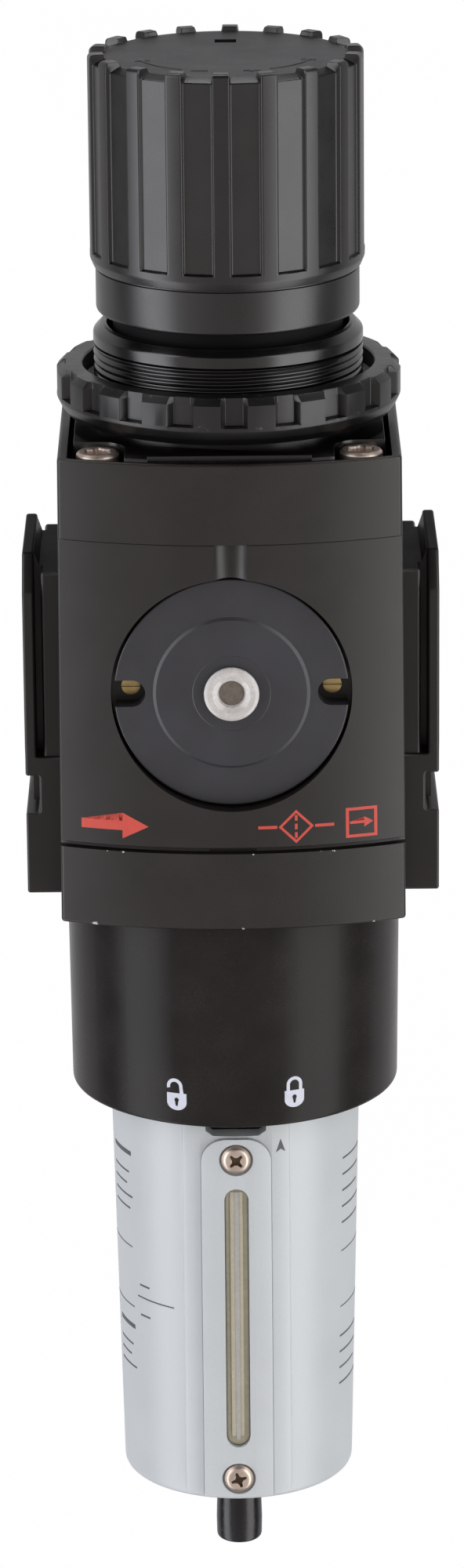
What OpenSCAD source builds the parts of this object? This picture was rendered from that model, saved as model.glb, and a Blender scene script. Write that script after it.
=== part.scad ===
// Combined air filter and pressure regulator with a bayonet bowl.
// Millimetres. The origin is where the pipe axis (X) crosses the vertical axis
// of the knob, valve and bowl (Z). The front of the unit faces -Y.

/* [Body] */
// Width of the body between its side faces
body_w = 76.4; // [74:0.2:80]
// Depth of the body from front face to rear face, at the middle
body_d = 84; // [82:0.5:86]
// Radius of the curved front and rear faces, seen from above
face_r = 104; // [90:1:120]
// Top of the body above the pipe axis
body_top = 52.6; // [52.2:0.1:53]
// Bottom of the body below the pipe axis
body_bottom = -54.5; // [-56:0.5:-54.5]
// Distance between the two port faces
port_span = 93; // [92:0.5:96]
// Radius of the pipe port bores
port_r = 12.3; // [10:0.1:12.5]
// Depth of each pipe port bore
port_depth = 18.5; // [14:0.5:19]

/* [Face plates and gauge covers] */
// Thickness of the curved face plates
plate_t = 2.2; // [1.5:0.1:3]
// Top edge of the face plates
plate_top = 34.5; // [32:0.5:36]
// Bottom edge of the face plates
plate_bottom = -35.3; // [-36:0.1:-32]
// Radius of the round gauge cover
cover_r = 26; // [24:0.5:26]
// Radius of the hole that the gauge cover sits in
cover_hole_r = 26.7; // [26.5:0.1:27.5]
// Distance of the gauge cover's face from the vertical axis
cover_face = 39.6; // [38.5:0.1:40.5]

/* [Bonnet and panel nut] */
// Radius of the threaded neck
neck_r = 30.15; // [29.9:0.05:30.4]
// Top of the threaded neck
neck_top = 74.8; // [74:0.1:75]
// Outer radius of the toothed panel nut
nut_r = 38.5; // [37:0.5:40]
// Bottom of the panel nut
nut_bottom = 55.6; // [54:0.1:56]
// Top of the panel nut
nut_top = 66.3; // [65:0.1:67]
// Number of notches round the panel nut
nut_notches = 20; // [16:1:24]

/* [Knob] */
// Outer radius of the fluted part of the knob
knob_r = 30.6; // [30:0.1:31]
// Radius of the plain skirt under the flutes
skirt_r = 29.4; // [29:0.1:29.5]
// Top of the knob
knob_top = 136.3; // [134:0.1:138]
// Lower edge of the skirt
skirt_bottom = 78.1; // [77.5:0.1:78.5]
// Number of flutes
flutes = 18; // [16:1:20]
// Travel of the knob when it is pushed down to lock
lock_travel = 2.5; // [2:0.1:2.5]

/* [Collar and bowl] */
// Radius of the collar at its top
collar_r_top = 38.05; // [37.5:0.05:38.2]
// Radius of the collar at its bottom
collar_r_bottom = 37.55; // [37:0.05:38]
// Bottom of the collar
collar_bottom = -103.4; // [-106:0.1:-102]
// Radius of the bowl just under the collar
bowl_r_top = 28.8; // [28.5:0.1:29]
// Radius of the bowl at its bottom
bowl_r_bottom = 26.75; // [26.6:0.05:27]
// Bottom face of the bowl
bowl_bottom = -199.9; // [-202:0.1:-198]
// Turn between locked and unlocked, in degrees
bayonet_turn = 43.5; // [40:0.5:45]
// Radius of the drain knob
drain_r = 5.4; // [5:0.1:6]
// Lower end of the drain knob
drain_bottom = -220.8; // [-224:0.1:-218]

/* [Hidden] */
$fn = 96;

eps = 0.01;              // overlap that keeps cut faces from coinciding
half_w = body_w / 2;
half_d = body_d / 2;
face_x = port_span / 2;
cast_black = [0.17, 0.16, 0.15];
moulded_black = [0.11, 0.11, 0.12];
cover_grey = [0.2, 0.2, 0.23];
nickel = [0.75, 0.7, 0.66];
brass = [0.78, 0.6, 0.3];
steel = [0.6, 0.61, 0.63];
rubber = [0.08, 0.08, 0.08];
white = [0.93, 0.93, 0.9];

// diaphragm and spring chambers
bonnet_seat = 40;        // bonnet flange sits here
flange_top = 53.3;
dia_t = 1.6;
dia_r = 29;
dia_rise = 2;            // the middle of the diaphragm is dished up by this
dia_mid = bonnet_seat - dia_t + dia_rise;
chamber_r = 25;
plate_r = 16.5;
disc_t = 2.5;            // thickness of the two diaphragm plates
spring_bore_r = 19;
tower_r = 24.5;
tower_foot_r = 25.7;
tower_top = 97;
tower_roof = 92.5;
cover_screw_x = 22.3;
seat_z = 78;             // underside of the spring seat nut at rest
lock_teeth = 12;
knob_bore_r = 26.4;
skirt_top = 88.1;        // a fine line above this parts the skirt from the fluted grip
flute_bottom = 92;
hub_low = 99.6 + lock_travel;   // stays over the adjusting screw's head when pushed down

// valve
chamber_bore = 12;       // radius of the valve chamber in the hub
hub_r = 17;
hub_bottom = -44;
seat_bottom = -10;
seat_top = -6;
guide_seat = -36;
stem_r = 2;

// bowl
bowl_top = -46;
neck_bowl_r = 28.4;
seal_bore_r = 28.75;
ledge_top = -80;
ledge_t = 6;
ledge_r = 29.8;
lug_r = 33.4;
lug_angle = 30;
lugs = 3;
pad_w = 24.6;
pad_r = 30.4;
sight_r = 31.4;          // radius of the sight cover's curved face
sight_flat = 29.2;       // flat that the sight cover lies on
screw_seat = 30.2;       // bottom of the cover's two counterbores
sight_top = -108.5;
sight_bottom = -197;
sight_screw_z = [-113.5, -192.4];
slot_z = [-184.5, -120.5];
slot_w = 5.5;
screw_xy = 29;           // bonnet screws sit at plus and minus this

// Plan of the body as a prism from z0 to z1, drawn in from the side faces and
// from the curved faces.
module plan_prism(z0, z1, side_in = 0, face_in = 0) {
    r = face_r - face_in;
    y = face_r - half_d;
    intersection() {
        translate([-half_w + side_in, -half_d, z0]) cube([body_w - 2 * side_in, body_d, z1 - z0]);
        translate([0, y, z0]) cylinder(r = r, h = z1 - z0, $fn = 240);
        translate([0, -y, z0]) cylinder(r = r, h = z1 - z0, $fn = 240);
    }
}

module tube(r_out, r_in, z0, z1) {
    translate([0, 0, z0]) difference() {
        cylinder(r = r_out, h = z1 - z0);
        translate([0, 0, -eps]) cylinder(r = r_in, h = z1 - z0 + 2 * eps);
    }
}

module ring(mean_r, wire_r, z) {
    translate([0, 0, z]) rotate_extrude() translate([mean_r, 0]) circle(r = wire_r, $fn = 32);
}

// A cylinder along Y, from distance y0 to y1 in front of the axis.
module front_cylinder(r, y0, y1, x = 0, z = 0) {
    translate([x, -y0, z]) rotate([90, 0, 0]) cylinder(r = r, h = y1 - y0);
}

module hexagon_bar(across_flats, z0, z1) {
    translate([0, 0, z0]) cylinder(r = across_flats / sqrt(3), h = z1 - z0, $fn = 6);
}

// A wedge between two angles, for cutting or making lugs, from radius 0 to r.
module sector(a0, a1, r, z0, z1) {
    far = r / cos((a1 - a0) / 2);
    translate([0, 0, z0]) linear_extrude(z1 - z0)
        polygon([[0, 0], far * [cos(a0), sin(a0)], far * [cos(a1), sin(a1)]]);
}

// One side's pipe port on the +X side: neck, clamp flange with its groove, and
// a block below them with a slot across it.
module port_block() {
    flange_t = 2.6;
    groove_w = 1.55;
    neck_y = 20.9;
    neck_top_z = 22.95;
    block_y = 21.6;
    block_top = -19.9;
    block_bottom = -52.1;
    slot_top = -24.4;
    slot_bottom = -33.1;
    flange_x = face_x - flange_t;
    neck_x = flange_x - groove_w;
    // neck, chamfered along its upper edges
    translate([half_w - 4, 0, 0]) rotate([90, 0, 90]) linear_extrude(neck_x - half_w + 4)
        polygon([[-neck_y, block_bottom], [-neck_y, neck_top_z - 0.7], [0.7 - neck_y, neck_top_z],
                 [neck_y - 0.7, neck_top_z], [neck_y, neck_top_z - 0.7], [neck_y, block_bottom]]);
    // core between neck and flange, which leaves the clamp groove in front and behind
    translate([neck_x - 1, -15, slot_bottom]) cube([groove_w + 2, 30, neck_top_z - slot_bottom]);
    // clamp flange, and the taper on its inner side
    translate([flange_x, 0, 0]) rotate([90, 0, 90]) linear_extrude(flange_t)
        polygon([[-22.6, -17.3], [-22.6, 18.3], [-16.8, 26.5], [16.8, 26.5], [22.6, 18.3],
                 [22.6, -17.3], [block_y, block_top], [block_y, slot_top],
                 [-block_y, slot_top], [-block_y, block_top]]);
    translate([0, 15, 0]) rotate([90, 0, 0]) linear_extrude(30)
        polygon([[flange_x + 1, 26.4], [flange_x, 26.4], [flange_x - 1.3, neck_top_z - 0.5],
                 [flange_x + 1, neck_top_z - 0.5]]);
    // block below the flange
    difference() {
        translate([half_w - 4, -block_y, block_bottom])
            cube([face_x - half_w + 4, 2 * block_y, block_top - block_bottom]);
        translate([face_x - 3.1, -block_y - 1, slot_bottom])
            cube([4, 2 * block_y + 2, slot_top - slot_bottom]);
    }
}

module body_casting() color(cast_black) difference() {
    union() {
        plan_prism(body_bottom, body_top);
        for (m = [0, 1]) mirror([m, 0, 0]) port_block();
    }
    // pocket for the bonnet flange
    plan_prism(bonnet_seat, body_top + 1, 2.5, 1.1);
    // seats behind the two face plates
    difference() {
        translate([-half_w - 1, -half_d - 1, plate_bottom - 1.3])
            cube([body_w + 2, body_d + 2, plate_top - plate_bottom + 1.3]);
        plan_prism(plate_bottom - 3, plate_top + 3, -2, plate_t);
        for (m = [0, 1]) mirror([m, 0, 0])
            translate([half_w - eps, -34, -60]) cube([20, 68, 120]);
    }
    // gauge cover recesses, gauge ports and their drillings
    for (m = [0, 1]) mirror([0, m, 0]) {
        front_cylinder(cover_hole_r, 34, half_d + 1);
        front_cylinder(5.7, 20, half_d);
        front_cylinder(3, 5, 21);
        for (s = [-1, 1]) front_cylinder(1.6, 26, 35, s * cover_screw_x, 0.9);
    }
    // pipe ports
    for (s = [-1, 1]) translate([s * (face_x + 1), 0, 0]) rotate([0, -s * 90, 0])
        cylinder(r = port_r, h = port_depth + 1);
    // inlet passage, down to the bowl
    translate([-31, 0, 0]) rotate([0, 90, 0]) cylinder(r = 7, h = 8);
    translate([-29, -8, -24]) cube([9, 16, 30]);
    // outlet passage, from above the valve seat
    translate([0, 0, 3.5]) rotate([0, 90, 0]) cylinder(r = 7.5, h = 30);
    translate([0, 0, seat_top]) cylinder(r = 10.5, h = 20);
    // valve chamber inside the hub
    translate([0, 0, hub_bottom - 1]) cylinder(r = chamber_bore, h = seat_top - hub_bottom + 1);
    // air space round the hub, bowl bore and the collar's register
    difference() {
        union() {
            translate([0, 0, -43]) cylinder(r = 26, h = 23);
            translate([0, 0, body_bottom - 1]) cylinder(r = seal_bore_r, h = 14.5);
            translate([0, 0, body_bottom - 1]) cylinder(r = 33, h = 5.5);
        }
        translate([0, 0, hub_bottom]) cylinder(r = hub_r, h = 40);
    }
    // diaphragm chamber, stem guide and pressure-sensing hole
    translate([0, 0, bonnet_seat - dia_t]) cylinder(r = dia_r, h = 5);
    translate([0, 0, 27]) cylinder(r = chamber_r, h = 14);
    translate([0, 0, 10]) cylinder(r = stem_r + 0.05, h = 20);
    translate([7, 0, 10]) cylinder(r = 1.2, h = 20);
    // bonnet screw holes
    for (x = [-1, 1], y = [-1, 1]) translate([x * screw_xy, y * screw_xy, 22])
        cylinder(r = 2.6, h = 20);
}

module face_plate() color(cast_black) difference() {
    plan_prism(plate_bottom, plate_top);
    plan_prism(plate_bottom - 1, plate_top + 1, -2, plate_t);
    translate([-100, 0, -60]) cube([200, 100, 120]);
    front_cylinder(cover_hole_r, 20, half_d + 1);
    // half-round channel from the top edge down to the cover
    translate([0, -half_d - 2.4, cover_hole_r - 4]) cylinder(r = 4.4, h = 20);
}

module front_face_plate() face_plate();

module rear_face_plate() mirror([0, 1, 0]) face_plate();

// Round cover with two spanner notches; its rim stands in the body recess.
module gauge_cover() color(cover_grey) difference() {
    union() {
        front_cylinder(cover_r, 34, cover_face - 0.5);
        front_cylinder(17.75, 35, cover_face);
    }
    front_cylinder(5.7, 33, cover_face + 1);
    for (s = [-1, 1]) {
        front_cylinder(3.05, 33, cover_face + 1, s * (cover_r - 3.9));
        translate([s * (cover_r + 0.6), -(cover_face + 33) / 2, 0])
            cube([9, cover_face - 31, 6.1], center = true);
    }
}

module front_gauge_cover() gauge_cover();

module rear_gauge_cover() mirror([0, 1, 0]) gauge_cover();

module port_plug() color(white) difference() {
    union() {
        front_cylinder(5.7, 27, cover_face + 0.2);
        front_cylinder(6.15, cover_face, cover_face + 1.4);
    }
    front_cylinder(2.85, 30, cover_face + 2);
}

module front_port_plug() port_plug();

module rear_port_plug() mirror([0, 1, 0]) port_plug();

module gauge_cover_screws() color(brass)
    for (m = [0, 1], s = [-1, 1]) mirror([0, m, 0]) difference() {
        union() {
            front_cylinder(1.6, 26.2, 34.2, s * cover_screw_x, 0.9);
            front_cylinder(2.1, 34, 35.6, s * cover_screw_x, 0.9);
        }
        translate([s * cover_screw_x, -35.6, 0.9]) cube([5, 1, 0.6], center = true);
    }

module bonnet() color(cast_black) difference() {
    union() {
        difference() {
            plan_prism(bonnet_seat, flange_top, 3.8, 1.5);
            // open pockets for the four corner screws
            for (x = [-1, 1], y = [-1, 1]) translate([x * screw_xy, y * screw_xy, 47.5]) {
                cylinder(r = 6, h = 10);
                translate([x > 0 ? 0 : -12, y > 0 ? -6 : -12, 0]) cube([12, 18, 10]);
                translate([x > 0 ? -6 : -12, y > 0 ? 0 : -12, 0]) cube([18, 12, 10]);
            }
            // shallow recess in the front and rear edges
            for (m = [0, 1]) mirror([0, m, 0])
                translate([-18, -half_d, flange_top - 3]) cube([36, half_d - 36.5, 5]);
        }
        rotate_extrude() polygon([
            [chamber_r - 8, flange_top - 1], [neck_r, flange_top - 1], [neck_r, neck_top],
            [neck_r - 0.4, neck_top], [neck_r - 3.1, neck_top - 2.7], [tower_foot_r, neck_top - 2.7],
            [tower_foot_r, 80.8], [tower_r, 80.8], [tower_r, tower_top], [chamber_r - 8, tower_top]]);
        translate([0, 0, tower_roof]) cylinder(r = tower_r - 1, h = tower_top - tower_roof);
    }
    // notches that the knob's inner teeth drop into
    for (i = [0 : lock_teeth - 1]) rotate(i * 360 / lock_teeth) difference() {
        sector(-4.2, 4.2, 30, 77, 81);
        translate([0, 0, 76]) cylinder(r = tower_r - 0.2, h = 6);
    }
    // groove for the detent ring
    tube(tower_r + 1, tower_r - 1, 88, 90);
    // spring bore, open to the diaphragm
    translate([0, 0, bonnet_seat - 1]) cylinder(r = spring_bore_r, h = tower_roof - bonnet_seat + 1);
    translate([0, 0, bonnet_seat - 1]) cylinder(r = chamber_r, h = 6);
    // two keyways for the spring seat nut
    translate([-21.2, -2.6, bonnet_seat - 1]) cube([42.4, 5.2, tower_roof - bonnet_seat + 1]);
    // bearing for the adjusting screw
    translate([0, 0, tower_roof - 1]) cylinder(r = 6.05, h = 10);
    for (x = [-1, 1], y = [-1, 1]) translate([x * screw_xy, y * screw_xy, bonnet_seat - 1])
        cylinder(r = 2.6, h = 20);
}

module bonnet_screws() color(nickel)
    for (x = [-1, 1], y = [-1, 1]) translate([x * screw_xy, y * screw_xy, 0]) difference() {
        union() {
            translate([0, 0, 24]) cylinder(r = 2.6, h = 24);
            translate([0, 0, 47.5]) rotate_extrude() polygon([
                [0, 0], [4.76, 0], [4.76, 4.6], [4.16, 5.2], [0, 5.2]]);
        }
        hexagon_bar(4.76, 49.7, 53.5);
    }

module diaphragm() color(rubber) {
    z = bonnet_seat - dia_t;
    rotate_extrude() polygon([
        [4, dia_mid], [plate_r + 0.8, dia_mid], [plate_r + 2, dia_mid + 1.2],
        [plate_r + 3.6, dia_mid + 1.2], [chamber_r - 2.4, z], [dia_r, z],
        [dia_r, z + dia_t], [chamber_r - 1.6, z + dia_t], [plate_r + 4.2, dia_mid + 1.2 + dia_t],
        [plate_r + 1.4, dia_mid + 1.2 + dia_t], [plate_r + 0.2, dia_mid + dia_t], [4, dia_mid + dia_t]]);
}

module diaphragm_plate_upper() color(steel) {
    z = dia_mid + dia_t;
    rotate_extrude() polygon([
        [3.9, z], [plate_r, z], [plate_r, z + disc_t - 0.7], [plate_r - 0.7, z + disc_t],
        [3.9, z + disc_t]]);
}

module diaphragm_plate_lower() color(steel) {
    z = dia_mid - disc_t;
    rotate_extrude() polygon([
        [stem_r + 1.9, z], [plate_r - 0.7, z], [plate_r, z + 0.7], [plate_r, dia_mid],
        [stem_r + 1.9, dia_mid]]);
}

module diaphragm_nut() color(steel) {
    z = dia_mid + dia_t + disc_t;
    difference() {
        hexagon_bar(11, z, z + 3.5);
        translate([0, 0, z - 1]) cylinder(r = 3.9, h = 6);
    }
}

module valve_stem() color(steel) union() {
    translate([0, 0, seat_bottom - 1.2]) cylinder(r = stem_r, h = dia_mid - disc_t - seat_bottom + 2);
    translate([0, 0, dia_mid - disc_t]) cylinder(r = 3.9, h = 2 * disc_t + dia_t + 4.2);
}

module valve_seat() color(brass) rotate_extrude() polygon([
    [7.4, seat_bottom], [8.2, seat_bottom], [9, seat_bottom + 1], [chamber_bore, seat_bottom + 1],
    [chamber_bore, seat_top], [7.4, seat_top]]);

module poppet_seal() color(rubber) tube(9.6, 4.5, seat_bottom - 1.2, seat_bottom);

module poppet() color(brass) difference() {
    rotate_extrude() polygon([
        [0, -33], [3, -33], [3, -20], [5.6, -20], [5.6, -19], [8.6, -19], [10.2, -17.4],
        [10.2, seat_bottom - 1.2], [0, seat_bottom - 1.2]]);
    translate([0, 0, seat_bottom - 1.2 - eps]) cylinder(r = 0.8, h = 1);
}

module valve_guide() color(moulded_black) difference() {
    union() {
        translate([0, 0, guide_seat - 4]) cylinder(r = chamber_bore, h = 4);
        translate([0, 0, hub_bottom]) cylinder(r = 5, h = 18);
    }
    translate([0, 0, -38]) cylinder(r = 3.05, h = 13);
    translate([0, 0, hub_bottom - 1]) cylinder(r = 2.5, h = 4);
    for (a = [45 : 90 : 315]) rotate(a) translate([8.1, 0, guide_seat - 5]) cylinder(r = 2.2, h = 6);
    tube(chamber_bore + 1, chamber_bore - 1.2, guide_seat - 2.7, guide_seat - 1.3);
}

module valve_guide_seal() color(rubber) ring(chamber_bore - 0.6, 0.6, guide_seat - 2);

// Round wire wound from z0 to z1, as a closed tube with flat ends.
module coil(mean_r, wire_r, z0, z1, turns, sides, steps) {
    count = round(turns * steps);
    rise = z1 - z0 - 2 * wire_r;
    points = [for (i = [0 : count], k = [0 : sides - 1])
        let (a = 360 * turns * i / count, b = 360 * k / sides,
             r = mean_r + wire_r * cos(b), z = z0 + wire_r + rise * i / count + wire_r * sin(b))
        [r * cos(a), r * sin(a), z]];
    skin = [for (i = [0 : count - 1], k = [0 : sides - 1])
        let (n = (k + 1) % sides)
        [i * sides + k, i * sides + n, (i + 1) * sides + n, (i + 1) * sides + k]];
    ends = [[for (k = [sides - 1 : -1 : 0]) k],
            [for (k = [0 : sides - 1]) count * sides + k]];
    polyhedron(points = points, faces = concat(skin, ends));
}

module range_spring() color(steel)
    coil(13.6, 1.9, dia_mid + dia_t + disc_t, seat_z, 5, 8, 20);

module valve_spring() color(steel)
    coil(7, 0.65, guide_seat, -19, 6, 6, 18);

module thrust_washer() color(steel) tube(11, 6.3, 91, tower_roof);

module adjusting_screw() color(steel) difference() {
    union() {
        translate([0, 0, 60]) cylinder(r = 5.9, h = 29);
        translate([0, 0, 88]) cylinder(r = 9, h = 3);
        translate([0, 0, 90]) cylinder(r = 6, h = 9);
        hexagon_bar(10, 98, 124);
    }
    tube(8, 5, 97.3, 98.3);
}

module screw_clip() color(steel) difference() {
    tube(9, 5, 97.3, 98.3);
    translate([0, -2.2, 97]) cube([12, 4.4, 2]);
}

module spring_seat_nut() color(brass) difference() {
    union() {
        translate([0, 0, seat_z]) cylinder(r = spring_bore_r - 0.4, h = 7);
        translate([-20.8, -2.1, seat_z]) cube([41.6, 4.2, 7]);
        translate([0, 0, seat_z - 3]) cylinder(r = 11.2, h = 4);
    }
    translate([0, 0, seat_z - 4]) cylinder(r = 5.95, h = 12);
}

module knob_detent_ring() color(steel) difference() {
    ring(tower_r - 0.35, 0.65, 89);
    translate([0, -2, 88]) cube([30, 4, 2]);
}

module knob() color(moulded_black) difference() {
    union() {
        // outer shell with rounded top and lower edges
        difference() {
            rotate_extrude() polygon([
                [0, skirt_bottom], [skirt_r - 1.4, skirt_bottom], [skirt_r - 0.4, skirt_bottom + 0.5],
                [skirt_r, skirt_bottom + 1.4], [skirt_r, skirt_top],
                [knob_r - 0.3, skirt_top + 0.4], [knob_r, skirt_top + 1],
                [knob_r, knob_top - 1.6], [knob_r - 0.5, knob_top - 0.5], [knob_r - 1.6, knob_top],
                [0, knob_top]]);
            translate([0, 0, skirt_bottom - 1]) cylinder(r = knob_bore_r, h = 131 - skirt_bottom + 1);
            // dished top inside the ring of rib ends
            translate([0, 0, knob_top - 1]) cylinder(r = 26.9, h = 2);
        }
        // hub over the adjusting screw
        translate([0, 0, hub_low]) cylinder(r = 9.5, h = 131.2 - hub_low);
        // inner teeth that drop into the bonnet's notches
        for (i = [0 : lock_teeth - 1]) rotate(i * 360 / lock_teeth) difference() {
            intersection() {
                sector(-3.1, 3.1, 27, 81.3, 86);
                translate([0, 0, 81]) cylinder(r = knob_bore_r + 0.5, h = 6);
            }
            translate([0, 0, 80]) cylinder(r = tower_r + 0.35, h = 8);
        }
    }
    hexagon_bar(10.7, hub_low - 1, 127.5);
    // flutes, cut down the side and across the top rim
    for (i = [0 : flutes - 1]) rotate(7.9 - 90 + i * 360 / flutes)
        translate([knob_r - 1, -3.4, flute_bottom]) cube([5, 6.8, 60]);
    for (i = [0 : flutes - 1]) rotate(7.9 - 90 + i * 360 / flutes)
        translate([26, -3.4, knob_top - 1]) cube([8, 6.8, 4]);
    // small slot in the top, behind the middle
    translate([-2.4, 14.8, knob_top - 3]) cube([4.8, 3.6, 4]);
}

module panel_nut() color(moulded_black) difference() {
    rotate_extrude() polygon([
        [neck_r + 0.08, nut_bottom], [nut_r - 2, nut_bottom], [nut_r, nut_bottom + 3.4],
        [nut_r, nut_top - 1.2], [nut_r - 1.2, nut_top], [32.6, nut_top], [32.6, 62.2],
        [31.2, 61], [neck_r + 0.08, 61]]);
    for (i = [0 : nut_notches - 1]) rotate(1.8 - 90 + i * 360 / nut_notches)
        translate([nut_r - 1.8, 0, nut_bottom + 4.3]) linear_extrude(20)
            polygon([[0, -1.95], [4, -3.9], [4, 3.9], [0, 1.95]]);
}

// Bowl guard fixed to the body; the bowl's lugs turn on the ledge inside it.
module collar() color(cast_black) difference() {
    union() {
        rotate_extrude() polygon([
            [neck_bowl_r + 0.6, -58], [neck_bowl_r + 0.6, -50], [33, -50], [33, body_bottom],
            [collar_r_top, body_bottom], [collar_r_bottom, collar_bottom + 1],
            [collar_r_bottom - 0.3, collar_bottom + 0.3], [collar_r_bottom - 1, collar_bottom],
            [34.2, collar_bottom], [33.8, ledge_top - ledge_t], [ledge_r, ledge_top - ledge_t],
            [ledge_r, ledge_top], [33.8, ledge_top], [33.8, -58]]);
        // stops at both ends of the bayonet turn
        for (i = [0 : lugs - 1], a = [16.5, -66]) rotate(i * 360 / lugs) difference() {
            intersection() {
                sector(a, a + 5, 36, ledge_top - 1, -74);
                translate([0, 0, -82]) cylinder(r = 34.5, h = 10);
            }
            translate([0, 0, -82]) cylinder(r = ledge_r, h = 10);
        }
    }
    // windows that let the lugs out
    for (i = [0 : lugs - 1]) rotate(i * 360 / lugs - bayonet_turn) difference() {
        sector(-lug_angle / 2 - 2, lug_angle / 2 + 2, 38, ledge_top - ledge_t - 1, ledge_top + eps);
        tube(60, 33.8, -90, -78);
    }
}

// Body of the bowl, with its flat-sided sight pad, before the slots are cut.
module bowl_shell() {
    wall_in = [25.2, 24.4];
    difference() {
        union() {
            rotate_extrude() polygon([
                [0, bowl_bottom], [bowl_r_bottom - 1.6, bowl_bottom],
                [bowl_r_bottom - 0.5, bowl_bottom + 0.5],
                [bowl_r_bottom, bowl_bottom + 1.6], [bowl_r_top, -103], [neck_bowl_r, -101],
                [neck_bowl_r, bowl_top + 1], [neck_bowl_r - 1, bowl_top], [0, bowl_top]]);
            // sight pad
            intersection() {
                translate([0, 0, -197.8]) cylinder(r = pad_r, h = 96.8);
                translate([-pad_w / 2, -40, -198]) cube([pad_w, 30, 98]);
            }
            // bayonet lugs
            for (i = [0 : lugs - 1]) rotate(i * 360 / lugs) intersection() {
                sector(-lug_angle / 2, lug_angle / 2, 36, ledge_top, ledge_top + 6);
                translate([0, 0, -82]) cylinder(r = lug_r, h = 10);
            }
        }
        rotate_extrude() polygon([
            [0, bowl_bottom + 3], [wall_in[1] - 3, bowl_bottom + 3], [wall_in[1], bowl_bottom + 6],
            [wall_in[0], bowl_top + 1], [0, bowl_top + 1]]);
        translate([0, 0, bowl_top - 1]) cylinder(r = wall_in[0], h = 4);
    }
}

module bowl() color([0.78, 0.8, 0.82]) difference() {
    bowl_shell();
    // groove for the seal ring
    tube(40, neck_bowl_r - 1.7, -52.2, -49.4);
    // flat under the sight cover, pocket for the glass and slot into the bowl
    translate([-8.15, -40, sight_bottom - 3])
        cube([16.3, 40 - sight_flat, sight_top - sight_bottom + 3.15]);
    sight_slot(9.4, 27.4, 40, 2);
    sight_slot(4, 20, 30, 0);
    for (z = sight_screw_z) front_cylinder(1.4, 26.4, 35, 0, z);
    // hole for the drain bush
    translate([0, 0, bowl_bottom - 1]) cylinder(r = 5, h = 6);
}

// Long upright slot with round ends, from y0 to y1 in front of the axis,
// longer than the window by more at each end.
module sight_slot(width, y0, y1, more) {
    low = slot_z[0] - more + slot_w / 2;
    high = slot_z[1] + more - slot_w / 2;
    for (z = [low, high]) front_cylinder(width / 2, y0, y1, 0, z);
    translate([-width / 2, -y1, low]) cube([width, y1 - y0, high - low]);
}

module bowl_seal_ring() color(rubber) ring(neck_bowl_r - 0.85, 0.85, -50.8);

module sight_gasket() color(rubber) difference() {
    sight_slot(9.4, 27.4, 28.2, 2);
    sight_slot(5, 26, 30, 0);
}

module sight_glass() color([0.62, 0.6, 0.42]) union() {
    sight_slot(9.4, 28.2, sight_flat, 2);
    sight_slot(5.4, 29, 30.8, 0);
}

// Curved plate with round upper corners, a slot and a counterbore for each screw.
module sight_cover() color([0.8, 0.82, 0.84]) difference() {
    intersection() {
        translate([0, 0, sight_bottom]) cylinder(r = sight_r, h = sight_top - sight_bottom, $fn = 180);
        union() {
            translate([-8, -40, sight_bottom]) cube([16, 40 - sight_flat, sight_top - sight_bottom - 6]);
            translate([-2, -40, sight_bottom]) cube([4, 40 - sight_flat, sight_top - sight_bottom]);
            for (s = [-1, 1]) front_cylinder(6, sight_flat, 40, 2 * s, sight_top - 6);
        }
    }
    sight_slot(slot_w, 28, 34, 0);
    for (z = sight_screw_z) {
        front_cylinder(1.9, 28, 34, 0, z);
        front_cylinder(3.85, screw_seat, 34, 0, z);
    }
}

module sight_screws() color(nickel) for (z = sight_screw_z) difference() {
    union() {
        front_cylinder(1.4, 26.6, screw_seat, 0, z);
        translate([0, -screw_seat, z]) rotate([90, 0, 0]) rotate_extrude() polygon([
            [0, 0], [3.45, 0], [3.45, 0.7], [3, 1.4], [2.1, 1.9], [0, 2.1]]);
    }
    for (a = [45, 135]) translate([0, -screw_seat - 1.6, z]) rotate([0, a, 0])
        cube([3.4, 2, 0.8], center = true);
}

module drain_bush() color(brass) difference() {
    union() {
        translate([0, 0, bowl_bottom]) cylinder(r = 5, h = 4);
        translate([0, 0, bowl_bottom + 3.8]) cylinder(r = 7.5, h = 2.2);
    }
    translate([0, 0, bowl_bottom - 1]) cylinder(r = 3.05, h = 10);
}

module drain_bush_seal() color(rubber) tube(7, 5, bowl_bottom + 3, bowl_bottom + 3.8);

// Quarter-turn cock: its cross hole meets the bowl only when it is turned.
module drain_stem() color(brass) difference() {
    translate([0, 0, bowl_bottom - 6]) cylinder(r = 3, h = 14);
    translate([0, 0, bowl_bottom - 7]) cylinder(r = 1.4, h = 11);
    translate([-4, 0, bowl_bottom + 3]) rotate([0, 90, 0]) cylinder(r = 1, h = 8);
}

module drain_knob() color(moulded_black) difference() {
    rotate_extrude() polygon([
        [0, drain_bottom], [drain_r - 1.2, drain_bottom], [drain_r - 0.3, drain_bottom + 0.4],
        [drain_r, drain_bottom + 1.3], [drain_r - 0.3, drain_bottom + 11], [drain_r - 0.5, bowl_bottom - 4],
        [drain_r, bowl_bottom - 2], [drain_r, bowl_bottom - 0.3], [0, bowl_bottom - 0.3]]);
    translate([0, 0, bowl_bottom - 6]) cylinder(r = 3, h = 7);
    translate([0, 0, drain_bottom - 1]) cylinder(r = 2.5, h = 11);
    translate([0, 0, drain_bottom]) cylinder(r = 1.4, h = 20);
}

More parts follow.
